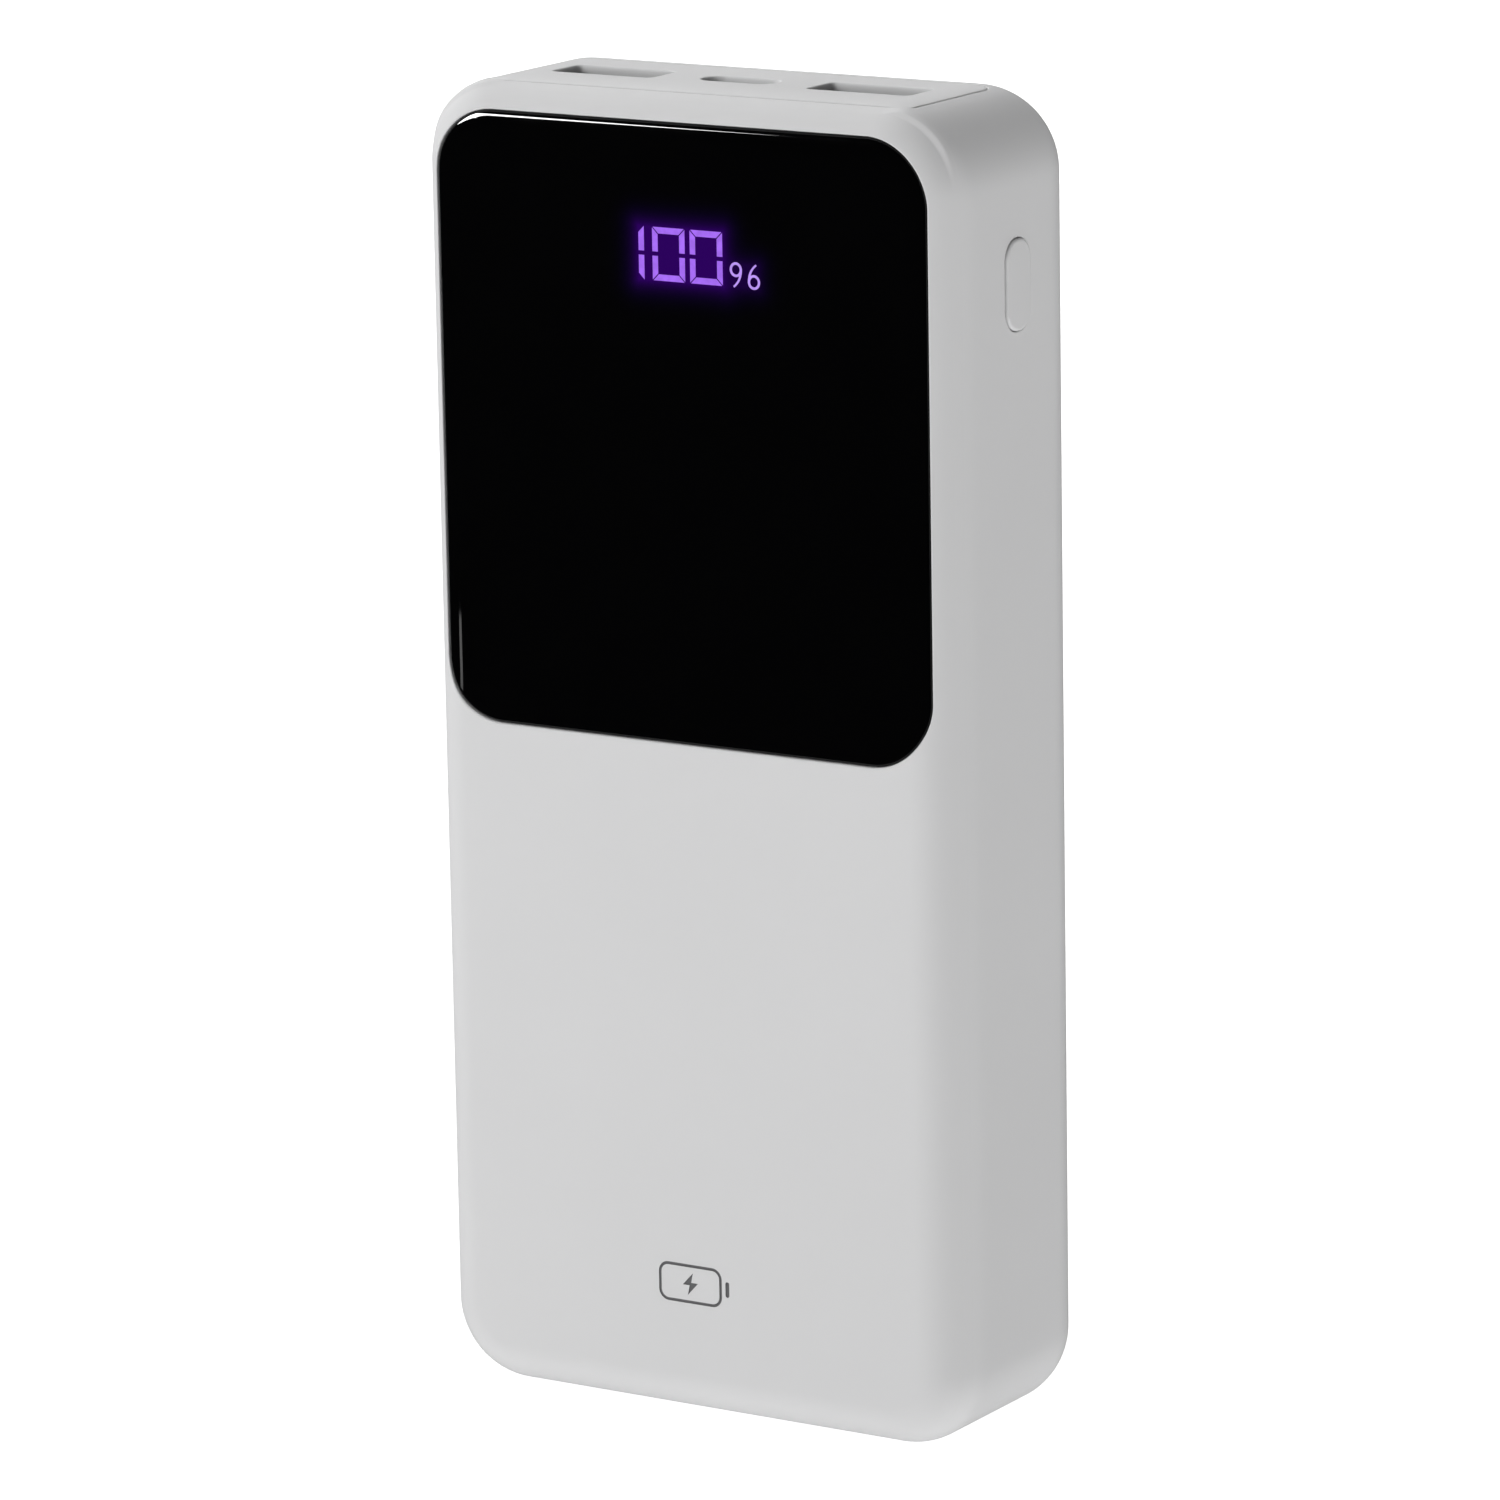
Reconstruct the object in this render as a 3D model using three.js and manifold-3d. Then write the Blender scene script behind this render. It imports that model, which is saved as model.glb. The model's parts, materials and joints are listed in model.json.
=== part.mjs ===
// A hand-sized power bank: a deep front housing closed by a shallow rear cover, a glossy display
// panel, a port plate on top, a side button, two pouch cells and the charging electronics.
// Millimetres. +Z is up, -Y is the display side, +X is the button side. The origin is the middle
// of the base that the power bank stands on.

import * as THREE from "three";
import { mergeVertices } from "three/addons/utils/BufferGeometryUtils.js";
import Module from "manifold-3d";

const wasm = await Module();
wasm.setup();

// ---- Driving dimensions ----

const BODY_WIDTH = 68.8;
const BODY_DEPTH = 30.4;
const BODY_HEIGHT = 150;
const CORNER_RADIUS = 9.4;
const FRONT_FILLET = { inset: 5.4, depth: 6.1 };
const REAR_FILLET = { inset: 8.6, depth: 8 };
const WALL = 1.8;
const FRONT_WALL = 2.8;
const TOP_WALL = 3.5;
const SEAM_Y = 12.2;
const SEAM_GAP = 0.1;
const PIECE_GAP = 0.3;
const TOUCH_GAP = 0.05;

const CAVITY_FRONT_FILLET = 5;
const CAVITY_RADIUS = CORNER_RADIUS - WALL;
const LIP = { gap: 0.2, thickness: 1, reach: 2.8, root: 0.4 };
const SNAP = { y: 10.5, length: 6, depth: 1.2, proud: 0.5, root: 0.6 };
const SNAP_PLACES = { sideZ: [28, 72, 112], baseX: [-16, 16] };
const CELL_STOP = { halfWidth: 28, rear: -8, thickness: 1.2 };
const OVERLAP = 0.5;

const PANEL = { halfWidth: 31.5, bottom: 78, top: 146.9, radius: 7.4, sink: 0.2, thickness: 1.2 };
const PANEL_TAPE = { thickness: 0.2, margin: 0.6, bottomMargin: 3.2, band: 4, radius: 4, holeRadius: 1 };
const RECESS_DEPTH = PANEL.sink + PANEL.thickness + PANEL_TAPE.thickness + 2 * TOUCH_GAP;

const PLATE = { halfWidth: 27.3, front: -10.8, rear: 6.8, radius: 1.2, thickness: 1.6, ledge: 1.9 };
const HOOK = { halfWidth: 0.5, reach: 1.2, barb: 0.8, y: [-3, 1] };
const PORT_Y = -1;
const PORT_MOUTH_Z = BODY_HEIGHT - PLATE.thickness - PIECE_GAP;
const USB_A = { x: 16.6, width: 13.1, depth: 5.7, height: 14, wall: 0.35, radius: 0.6 };
const USB_A_TONGUE = { width: 11, thickness: 1.9, fromFront: 0.6, base: 3.6, tipDepth: 1 };
const USB_A_MOUTH = { width: 12.7, depth: 5.3, radius: 0.5 };
const USB_C = { width: 8.94, depth: 3.2, height: 7.5, wall: 0.3 };
const USB_C_TONGUE = { width: 6.7, thickness: 0.7, base: 1.6, tipDepth: 0.9 };
const USB_C_MOUTH = { width: 9.2, depth: 3.4 };
const USB_C_FEET = { x: 4, halfWidth: 0.25, height: 1, overBoard: [0.3, 2.6] };
const INSULATOR_GAP = 0.1;

const BOARD = { halfWidth: 29.5, bottom: 117.6, top: 144.5, front: 1.9, thickness: 1.2, radius: 2 };
const BOARD_REAR = BOARD.front + BOARD.thickness;
const SCREW_SPOTS = [[-26.5, 120.6], [26.5, 120.6], [-26.5, 140], [26.5, 140]];
const SCREW = { headRadius: 1.9, headHeight: 1.3, shankRadius: 0.95, length: 7 };
const BOSS = { radius: 2.6, bore: 1.15, boreDepth: 9, boardGap: 0.2 };
const INDUCTOR = { halfSize: 3.5, radius: 1, footing: 1, height: 4.2, footHalf: 1.5 };
const CAPACITOR = { radius: 2.5, height: 5.5, groove: 0.15, baseHalf: 2.7, baseHeight: 0.8 };

const DISPLAY = { x: 3.2, z: 132.5, width: 20, height: 10, thickness: 4.6 };
const DISPLAY_FILM = 0.12;
const DISPLAY_BOARD = { width: 25, height: 15, thickness: 1 };
const CHIPS = {
  controller: { x: 9, z: 129, half: 3, thickness: 0.9 },
  charge: { x: 18, z: 127, half: 2, thickness: 0.8 },
};
const INDUCTOR_PLACES = { x: [-10, -1], z: 129 };
const CAPACITOR_PLACES = { x: [-19, -13, 13], z: 138.5 };
const HEADER = { pins: 6, pitch: 2, pinHalf: 0.3, stripHalf: 1, stripHeight: 2, fromEdge: 1.4 };
const DISPLAY_FRONT = -BODY_DEPTH / 2 + RECESS_DEPTH + DISPLAY_FILM + 2 * TOUCH_GAP;
const DISPLAY_BOARD_FRONT = DISPLAY_FRONT + DISPLAY.thickness + TOUCH_GAP;
const DISPLAY_BOARD_REAR = DISPLAY_BOARD_FRONT + DISPLAY_BOARD.thickness;

const BUTTON = { y: 0, z: 129.6, width: 5.2, height: 10.1, radius: 2.4, proud: 0.3, travel: 0.4 };
const BUTTON_FLANGE = { width: 7.6, height: 14, thickness: 1, radius: 1, wallGap: 0.15 };
const BUTTON_NUB = { half: 1.5, radius: 0.6 };
const BUTTON_GUIDE = { halfDepth: 4.5, reach: 2, thickness: 1 };
const SWITCH = { depth: 3.4, height: 6, inner: 25.6, outer: 29.8 };
const PLUNGER = { halfDepth: 0.7, halfHeight: 1.4, proud: 0.8, inside: 1.2, gap: 0.15, spare: 0.2 };
const PLUNGER_TIP = SWITCH.outer + PLUNGER.proud;

const CELL = { width: 59.5, thickness: 11.6, height: 108, bottom: 5.2, edgeRadius: 3, cornerRadius: 3.6 };
const CELL_FRONT_Y = -11.9;
const CELL_TAPE = { halfWidth: 20, thickness: 0.2, z: [20, 100] };
const CELL_REAR_Y = CELL_FRONT_Y + CELL.thickness + CELL_TAPE.thickness + 2 * TOUCH_GAP;
const CELL_TOP = CELL.bottom + CELL.height;
const TAB = { x: 12, width: 6, thickness: 0.2, fold: 3.4 };
const FOAM = { halfWidth: 22, frontZ: [15, 76], rearZ: [15, 104], baseY: [-7, 6.5] };
const GUARD_BOARD = { halfWidth: 20, halfDepth: 4.4, radius: 0.6, bottom: 115.2, thickness: 0.9 };
const GUARD_TOP = GUARD_BOARD.bottom + GUARD_BOARD.thickness;
const SHEET = { halfWidth: 30, front: -11.2, rear: 9, radius: 2, bottom: 116.75, thickness: 0.3 };
const LEAD = { x: 6, radius: 0.8, startY: 3.5, boardGap: 0.3, rise: 5 };
const LEAD_SLOT = { half: 1.3, rear: 2, radius: 0.4 };

const HALF_WIDTH = BODY_WIDTH / 2;
const FRONT_Y = -BODY_DEPTH / 2;
const REAR_Y = BODY_DEPTH / 2;
const CAVITY_HALF_WIDTH = HALF_WIDTH - WALL;
const CAVITY_FRONT = FRONT_Y + FRONT_WALL;
const CAVITY_TOP = BODY_HEIGHT - TOP_WALL;
const FAR = 200;

// ---- Materials ----

function plastic(color, roughness) {
  return new THREE.MeshStandardMaterial({ color, roughness, metalness: 0 });
}

function metal(color, roughness) {
  return new THREE.MeshStandardMaterial({ color, roughness, metalness: 1 });
}

const shellWhite = () => plastic(0xd6d7d9, 0.38);
const panelBlack = () => plastic(0x030304, 0.06);
const blackPlastic = () => plastic(0x17181a, 0.5);
const boardGreen = () => plastic(0x14532f, 0.45);
const foamGrey = () => plastic(0x3c3d40, 0.95);
const tapeBlack = () => plastic(0x101012, 0.8);
const ferrite = () => plastic(0x4a4b4f, 0.6);
const greyPaper = () => plastic(0x9aa3a0, 0.85);
const redInsulation = () => plastic(0xb01818, 0.5);
const violetLight = () =>
  new THREE.MeshStandardMaterial({ color: 0x2a1245, roughness: 0.4, emissive: 0x5230a0 });
const steel = () => metal(0xb9bcc0, 0.32);
const canAluminium = () => metal(0xc6c8cb, 0.3);
const pouchFoil = () => metal(0xb4b8bd, 0.42);
const nickel = () => metal(0xcac4b4, 0.35);

// ---- Solids: three.js geometry in, manifold-3d joins and cuts, three.js geometry out ----

function solidFrom(geometry) {
  const bare = geometry.clone();
  bare.deleteAttribute("normal");
  bare.deleteAttribute("uv");
  const merged = mergeVertices(bare, 1e-4);
  return new wasm.Manifold(
    new wasm.Mesh({
      numProp: 3,
      vertProperties: merged.attributes.position.array,
      triVerts: new Uint32Array(merged.index.array),
    }),
  );
}

function geometryFrom(solid) {
  const mesh = solid.getMesh();
  const geometry = new THREE.BufferGeometry();
  geometry.setAttribute("position", new THREE.BufferAttribute(mesh.vertProperties, 3));
  geometry.setIndex(new THREE.BufferAttribute(mesh.triVerts, 1));
  geometry.computeVertexNormals();
  return geometry;
}

function part(name, solid, material) {
  const mesh = new THREE.Mesh(geometryFrom(solid), material);
  mesh.name = name;
  return mesh;
}

function join(...solids) {
  return solids.reduce((whole, next) => whole.add(next));
}

function block([x0, x1], [y0, y1], [z0, z1]) {
  const geometry = new THREE.BoxGeometry(x1 - x0, y1 - y0, z1 - z0);
  geometry.translate((x0 + x1) / 2, (y0 + y1) / 2, (z0 + z1) / 2);
  return solidFrom(geometry);
}

function roundedShape(left, right, bottom, top, radius, Kind = THREE.Shape) {
  const shape = new Kind();
  shape.moveTo(left + radius, bottom);
  shape.lineTo(right - radius, bottom);
  shape.absarc(right - radius, bottom + radius, radius, -Math.PI / 2, 0, false);
  shape.lineTo(right, top - radius);
  shape.absarc(right - radius, top - radius, radius, 0, Math.PI / 2, false);
  shape.lineTo(left + radius, top);
  shape.absarc(left + radius, top - radius, radius, Math.PI / 2, Math.PI, false);
  shape.lineTo(left, bottom + radius);
  shape.absarc(left + radius, bottom + radius, radius, Math.PI, Math.PI * 1.5, false);
  return shape;
}

function circlePath(x, y, radius) {
  return new THREE.Path().absarc(x, y, radius, 0, Math.PI * 2, true);
}

// The shape's axes become X and Z, and the prism runs along Y.
function prismAlongY(shape, [y0, y1], curveSegments = 5) {
  const geometry = new THREE.ExtrudeGeometry(shape, { depth: y1 - y0, bevelEnabled: false, curveSegments });
  geometry.rotateX(Math.PI / 2);
  geometry.translate(0, y1, 0);
  return solidFrom(geometry);
}

// The shape's axes become X and Y, and the prism runs along Z.
function prismAlongZ(shape, [z0, z1], curveSegments = 5) {
  const geometry = new THREE.ExtrudeGeometry(shape, { depth: z1 - z0, bevelEnabled: false, curveSegments });
  geometry.translate(0, 0, z0);
  return solidFrom(geometry);
}

// The shape's axes become Y and Z, and the prism runs along X.
function prismAlongX(shape, [x0, x1], curveSegments = 5) {
  const geometry = new THREE.ExtrudeGeometry(shape, { depth: x1 - x0, bevelEnabled: false, curveSegments });
  const turn = new THREE.Matrix4().makeBasis(
    new THREE.Vector3(0, 1, 0),
    new THREE.Vector3(0, 0, 1),
    new THREE.Vector3(1, 0, 0),
  );
  geometry.applyMatrix4(turn);
  geometry.translate(x0, 0, 0);
  return solidFrom(geometry);
}

function rodAlongY(x, z, radius, [y0, y1], sides = 16) {
  const geometry = new THREE.CylinderGeometry(radius, radius, y1 - y0, sides);
  geometry.translate(x, (y0 + y1) / 2, z);
  return solidFrom(geometry);
}

// ---- The pillow-shaped body: rounded rectangles stacked along Y, drawn in on elliptic fillets ----

function ring(halfWidth, bottom, top, radius, y, cornerSteps) {
  const corners = [
    [halfWidth - radius, bottom + radius, -Math.PI / 2],
    [halfWidth - radius, top - radius, 0],
    [-halfWidth + radius, top - radius, Math.PI / 2],
    [-halfWidth + radius, bottom + radius, Math.PI],
  ];
  return corners.flatMap(([x, z, start]) =>
    Array.from({ length: cornerSteps + 1 }, (_, step) => {
      const angle = start + (step / cornerSteps) * (Math.PI / 2);
      return new THREE.Vector3(x + radius * Math.cos(angle), y, z + radius * Math.sin(angle));
    }),
  );
}

function loft(rings) {
  const count = rings[0].length;
  const middle = (points) => points.reduce((sum, p) => sum.add(p), new THREE.Vector3()).divideScalar(count);
  const vertices = [...rings.flat(), middle(rings[0]), middle(rings.at(-1))];
  const frontMiddle = vertices.length - 2;
  const rearMiddle = vertices.length - 1;
  const rearStart = (rings.length - 1) * count;
  const faces = [];
  for (let i = 0; i < count; i += 1) {
    const next = (i + 1) % count;
    faces.push(frontMiddle, i, next);
    faces.push(rearMiddle, rearStart + next, rearStart + i);
    for (let level = 0; level < rearStart; level += count) {
      faces.push(level + i, level + count + i, level + next);
      faces.push(level + next, level + count + i, level + count + next);
    }
  }
  const geometry = new THREE.BufferGeometry().setFromPoints(vertices);
  geometry.setIndex(faces);
  return solidFrom(geometry);
}

function pillow({ halfWidth, bottom, top, radius, front, rear, frontFillet, rearFillet, steps = 7 }) {
  const filletSteps = steps - 1;
  const rings = [];
  const addRing = (inset, y) =>
    rings.push(ring(halfWidth - inset, bottom + inset, top - inset, radius - inset, y, steps));
  for (let step = filletSteps; step >= 0; step -= 1) {
    const angle = (step / filletSteps) * (Math.PI / 2);
    addRing(
      frontFillet.inset * (1 - Math.cos(angle)),
      front + frontFillet.depth * (1 - Math.sin(angle)),
    );
  }
  for (let step = 0; step <= filletSteps; step += 1) {
    const angle = (step / filletSteps) * (Math.PI / 2);
    addRing(
      rearFillet.inset * (1 - Math.cos(angle)),
      rear - rearFillet.depth * (1 - Math.sin(angle)),
    );
  }
  return loft(rings);
}

// The body's outer surface, moved inwards by an offset.
function outerBody(offset = 0) {
  return pillow({
    halfWidth: HALF_WIDTH - offset,
    bottom: offset,
    top: BODY_HEIGHT - offset,
    radius: CORNER_RADIUS - offset,
    front: FRONT_Y + offset,
    rear: REAR_Y - offset,
    frontFillet: { inset: FRONT_FILLET.inset - offset, depth: FRONT_FILLET.depth - offset },
    rearFillet: { inset: REAR_FILLET.inset - offset, depth: REAR_FILLET.depth - offset },
  });
}

// The hollow inside the two casing halves, moved inwards by an offset at its rim only.
function cavity(offset = 0) {
  return pillow({
    halfWidth: CAVITY_HALF_WIDTH - offset,
    bottom: WALL + offset,
    top: CAVITY_TOP - offset,
    radius: CAVITY_RADIUS - offset,
    front: CAVITY_FRONT,
    rear: REAR_Y - WALL,
    frontFillet: { inset: CAVITY_FRONT_FILLET, depth: CAVITY_FRONT_FILLET },
    rearFillet: { inset: REAR_FILLET.inset - WALL - offset, depth: REAR_FILLET.depth - WALL },
  });
}

// How far an elliptic fillet has drawn its rim in, at a depth measured from where it starts.
function filletInset(fillet, depth) {
  return fillet.inset * (1 - Math.sqrt(1 - (depth / fillet.depth) ** 2));
}

function slabAlongY(y0, y1) {
  return block([-FAR, FAR], [y0, y1], [-FAR, FAR]);
}

function panelShape(growth) {
  const { halfWidth, bottom, top, radius } = PANEL;
  const right = halfWidth + growth;
  return roundedShape(-right, right, bottom - growth, top + growth, radius + growth);
}

function plateShape(growth) {
  const { halfWidth, front, rear, radius } = PLATE;
  return roundedShape(-halfWidth - growth, halfWidth + growth, front - growth, rear + growth, radius);
}

// ---- Casing ----

function panelRecess() {
  const reach = prismAlongY(panelShape(PIECE_GAP), [-FAR, FRONT_Y + FRONT_FILLET.depth], 6);
  return reach.subtract(outerBody(RECESS_DEPTH));
}

function displayWindow() {
  const { x, z, width, height } = DISPLAY;
  const halfWidth = width / 2 + PIECE_GAP;
  const halfHeight = height / 2 + PIECE_GAP;
  const y = [FRONT_Y - 1, CAVITY_FRONT + 1];
  return block([x - halfWidth, x + halfWidth], y, [z - halfHeight, z + halfHeight]);
}

function plateSeat() {
  const pocket = prismAlongZ(plateShape(PIECE_GAP), [BODY_HEIGHT / 2, FAR], 2);
  const through = prismAlongZ(plateShape(-PLATE.ledge), [CAVITY_TOP - 2, FAR], 2);
  return pocket.subtract(outerBody(PLATE.thickness + PIECE_GAP)).add(through);
}

function buttonShape(growth) {
  const halfWidth = BUTTON.width / 2 + growth;
  const halfHeight = BUTTON.height / 2 + growth;
  return roundedShape(
    BUTTON.y - halfWidth,
    BUTTON.y + halfWidth,
    BUTTON.z - halfHeight,
    BUTTON.z + halfHeight,
    BUTTON.radius + growth,
  );
}

// Two shelves inside the side wall that keep the button's flange straight.
function buttonGuides() {
  const reach = BUTTON_FLANGE.height / 2 + PIECE_GAP;
  const { halfDepth, reach: shelfReach, thickness } = BUTTON_GUIDE;
  const x = [CAVITY_HALF_WIDTH - shelfReach, CAVITY_HALF_WIDTH + OVERLAP];
  const shelf = (z0, z1) => block(x, [-halfDepth, halfDepth], [z0, z1]);
  return join(
    shelf(BUTTON.z + reach, BUTTON.z + reach + thickness),
    shelf(BUTTON.z - reach - thickness, BUTTON.z - reach),
  );
}

function boardBosses() {
  const bossEnd = BOARD.front - BOSS.boardGap;
  return SCREW_SPOTS.map(([x, z]) =>
    rodAlongY(x, z, BOSS.radius, [CAVITY_FRONT - OVERLAP, bossEnd], 18)
      .subtract(rodAlongY(x, z, BOSS.bore, [bossEnd - BOSS.boreDepth, bossEnd + OVERLAP], 12)),
  );
}

// A rib across the front wall that keeps the cells out of the electronics bay.
function cellStop() {
  const { halfWidth, rear, thickness } = CELL_STOP;
  const bottom = CELL_TOP + PIECE_GAP;
  return block([-halfWidth, halfWidth], [CAVITY_FRONT - OVERLAP, rear], [bottom, bottom + thickness]);
}

// The snaps on the rear cover's lip, or the pockets they drop into when growth is above zero.
function snaps(growth) {
  const fillet = { inset: REAR_FILLET.inset - WALL, depth: REAR_FILLET.depth - WALL };
  const wallInset = filletInset(fillet, SNAP.y - (REAR_Y - REAR_FILLET.depth));
  const y = [SNAP.y - SNAP.depth / 2 - growth, SNAP.y + SNAP.depth / 2 + growth];
  const half = SNAP.length / 2 + growth;
  const tip = wallInset + LIP.gap - SNAP.proud - growth;
  const root = wallInset + LIP.gap + SNAP.root;
  const sides = SNAP_PLACES.sideZ.flatMap((z) => [
    block([CAVITY_HALF_WIDTH - root, CAVITY_HALF_WIDTH - tip], y, [z - half, z + half]),
    block([tip - CAVITY_HALF_WIDTH, root - CAVITY_HALF_WIDTH], y, [z - half, z + half]),
  ]);
  const base = SNAP_PLACES.baseX.map((x) => block([x - half, x + half], y, [WALL + tip, WALL + root]));
  return join(...sides, ...base);
}

function frontHousing() {
  return outerBody()
    .intersect(slabAlongY(-FAR, SEAM_Y))
    .subtract(cavity())
    .subtract(panelRecess())
    .subtract(displayWindow())
    .subtract(plateSeat())
    .subtract(prismAlongX(buttonShape(PIECE_GAP), [PLUNGER_TIP, FAR], 4))
    .subtract(snaps(PIECE_GAP))
    .add(join(buttonGuides(), cellStop(), ...boardBosses()));
}

function rearCover() {
  const tray = outerBody()
    .intersect(slabAlongY(SEAM_Y + SEAM_GAP, FAR))
    .subtract(cavity(LIP.gap + LIP.thickness));
  const lip = cavity(LIP.gap)
    .subtract(cavity(LIP.gap + LIP.thickness))
    .intersect(slabAlongY(SEAM_Y - LIP.reach, SEAM_Y + LIP.root));
  return join(tray, lip, snaps(0));
}

function displayPanel() {
  return outerBody(PANEL.sink)
    .subtract(outerBody(PANEL.sink + PANEL.thickness))
    .intersect(prismAlongY(panelShape(0), [-FAR, FRONT_Y + FRONT_FILLET.depth], 8));
}

function panelTape() {
  const { thickness, margin, bottomMargin, band, radius, holeRadius } = PANEL_TAPE;
  const right = HALF_WIDTH - FRONT_FILLET.inset - margin;
  const bottom = PANEL.bottom + bottomMargin;
  const top = BODY_HEIGHT - FRONT_FILLET.inset - margin;
  const shape = roundedShape(-right, right, bottom, top, radius);
  shape.holes.push(
    roundedShape(band - right, right - band, bottom + band, top - band, holeRadius, THREE.Path),
  );
  const front = FRONT_Y + PANEL.sink + PANEL.thickness + TOUCH_GAP;
  return prismAlongY(shape, [front, front + thickness], 3);
}

// The round-ended outline of the USB-C socket, in the plane of the top.
function pill(width, depth, inset) {
  return roundedShape(
    -width / 2 + inset,
    width / 2 - inset,
    PORT_Y - depth / 2 + inset,
    PORT_Y + depth / 2 - inset,
    depth / 2 - inset - 0.01,
  );
}

function portMouths() {
  const { width, depth, radius } = USB_A_MOUTH;
  const mouthA = (x) =>
    roundedShape(x - width / 2, x + width / 2, PORT_Y - depth / 2, PORT_Y + depth / 2, radius);
  const mouthC = pill(USB_C_MOUTH.width, USB_C_MOUTH.depth, 0);
  const span = [PORT_MOUTH_Z - 5, FAR];
  return join(
    prismAlongZ(mouthA(-USB_A.x), span, 2),
    prismAlongZ(mouthA(USB_A.x), span, 2),
    prismAlongZ(mouthC, span, 5),
  );
}

// Two barbed fingers under the plate that hook below the ledge of its seat.
function plateHooks() {
  const { halfWidth, reach, barb, y } = HOOK;
  const edge = PLATE.halfWidth - PLATE.ledge - PIECE_GAP;
  const bottom = CAVITY_TOP - reach;
  const finger = (x, top) => block([x - halfWidth, x + halfWidth], y, [bottom, top]);
  const hook = (side) =>
    join(
      finger(side * (edge - halfWidth), BODY_HEIGHT - OVERLAP),
      finger(side * edge, bottom + barb),
    );
  return join(hook(-1), hook(1));
}

function portPlate() {
  return outerBody()
    .subtract(outerBody(PLATE.thickness))
    .intersect(prismAlongZ(plateShape(0), [BODY_HEIGHT / 2, FAR], 2))
    .subtract(portMouths())
    .add(plateHooks());
}

// ---- Button and switch ----

function powerButton() {
  const { width, height, thickness, radius, wallGap } = BUTTON_FLANGE;
  const flangeOuter = CAVITY_HALF_WIDTH - wallGap;
  const flangeInner = flangeOuter - thickness;
  const flange = roundedShape(
    BUTTON.y - width / 2,
    BUTTON.y + width / 2,
    BUTTON.z - height / 2,
    BUTTON.z + height / 2,
    radius,
  );
  const { half } = BUTTON_NUB;
  const nub = roundedShape(
    BUTTON.y - half,
    BUTTON.y + half,
    BUTTON.z - half,
    BUTTON.z + half,
    BUTTON_NUB.radius,
  );
  return join(
    prismAlongX(buttonShape(0), [flangeOuter - thickness / 2, HALF_WIDTH + BUTTON.proud], 5),
    prismAlongX(flange, [flangeInner, flangeOuter], 2),
    prismAlongX(nub, [PLUNGER_TIP + TOUCH_GAP, flangeInner + thickness / 2], 2),
  );
}

// The plunger's span along Y and along Z.
function plungerSpan(growth) {
  const halfDepth = PLUNGER.halfDepth + growth;
  const halfHeight = PLUNGER.halfHeight + growth;
  return [
    [BUTTON.y - halfDepth, BUTTON.y + halfDepth],
    [BUTTON.z - halfHeight, BUTTON.z + halfHeight],
  ];
}

function switchBody() {
  const y = [BOARD.front - TOUCH_GAP - SWITCH.depth, BOARD.front - TOUCH_GAP];
  const z = [BUTTON.z - SWITCH.height / 2, BUTTON.z + SWITCH.height / 2];
  const pocketFloor = SWITCH.outer - PLUNGER.inside - BUTTON.travel - PLUNGER.spare;
  return block([SWITCH.inner, SWITCH.outer], y, z)
    .subtract(block([pocketFloor, SWITCH.outer + OVERLAP], ...plungerSpan(PLUNGER.gap)));
}

function switchPlunger() {
  return block([SWITCH.outer - PLUNGER.inside, PLUNGER_TIP], ...plungerSpan(0));
}

// ---- Ports ----

function usbAShell(x) {
  const { width, depth, height, wall, radius } = USB_A;
  const outline = (inset) =>
    roundedShape(
      x - width / 2 + inset,
      x + width / 2 - inset,
      PORT_Y - depth / 2 + inset,
      PORT_Y + depth / 2 - inset,
      radius - inset,
    );
  const bottom = PORT_MOUTH_Z - height;
  return prismAlongZ(outline(0), [bottom, PORT_MOUTH_Z], 2)
    .subtract(prismAlongZ(outline(wall), [bottom + wall, FAR], 2));
}

function usbAInsulator(x) {
  const { width, depth, height, wall } = USB_A;
  const tongue = USB_A_TONGUE;
  const floor = PORT_MOUTH_Z - height + wall + TOUCH_GAP;
  const halfWidth = width / 2 - wall - INSULATOR_GAP;
  const halfDepth = depth / 2 - wall - INSULATOR_GAP;
  const baseTop = floor + tongue.base;
  const tongueFront = PORT_Y - halfDepth + tongue.fromFront;
  return join(
    block([x - halfWidth, x + halfWidth], [PORT_Y - halfDepth, PORT_Y + halfDepth], [floor, baseTop]),
    block(
      [x - tongue.width / 2, x + tongue.width / 2],
      [tongueFront, tongueFront + tongue.thickness],
      [baseTop - OVERLAP, PORT_MOUTH_Z - tongue.tipDepth],
    ),
  );
}

function usbCShell() {
  const { width, depth, height, wall } = USB_C;
  const bottom = PORT_MOUTH_Z - height;
  const feet = USB_C_FEET;
  const y = [PORT_Y, BOARD.front - TOUCH_GAP];
  const foot = (x, z) => block([x - feet.halfWidth, x + feet.halfWidth], y, [z, z + feet.height]);
  const stands = feet.overBoard
    .map((rise) => bottom + rise)
    .flatMap((z) => [foot(-feet.x, z), foot(feet.x, z)]);
  return prismAlongZ(pill(width, depth, 0), [bottom, PORT_MOUTH_Z])
    .add(join(...stands))
    .subtract(prismAlongZ(pill(width, depth, wall), [bottom + wall, FAR]));
}

function usbCInsulator() {
  const { width, depth, height, wall } = USB_C;
  const tongue = USB_C_TONGUE;
  const floor = PORT_MOUTH_Z - height + wall + TOUCH_GAP;
  const baseTop = floor + tongue.base;
  return join(
    prismAlongZ(pill(width, depth, wall + INSULATOR_GAP), [floor, baseTop]),
    block(
      [-tongue.width / 2, tongue.width / 2],
      [PORT_Y - tongue.thickness / 2, PORT_Y + tongue.thickness / 2],
      [baseTop - OVERLAP, PORT_MOUTH_Z - tongue.tipDepth],
    ),
  );
}

// ---- Boards and what is soldered to them ----

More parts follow.
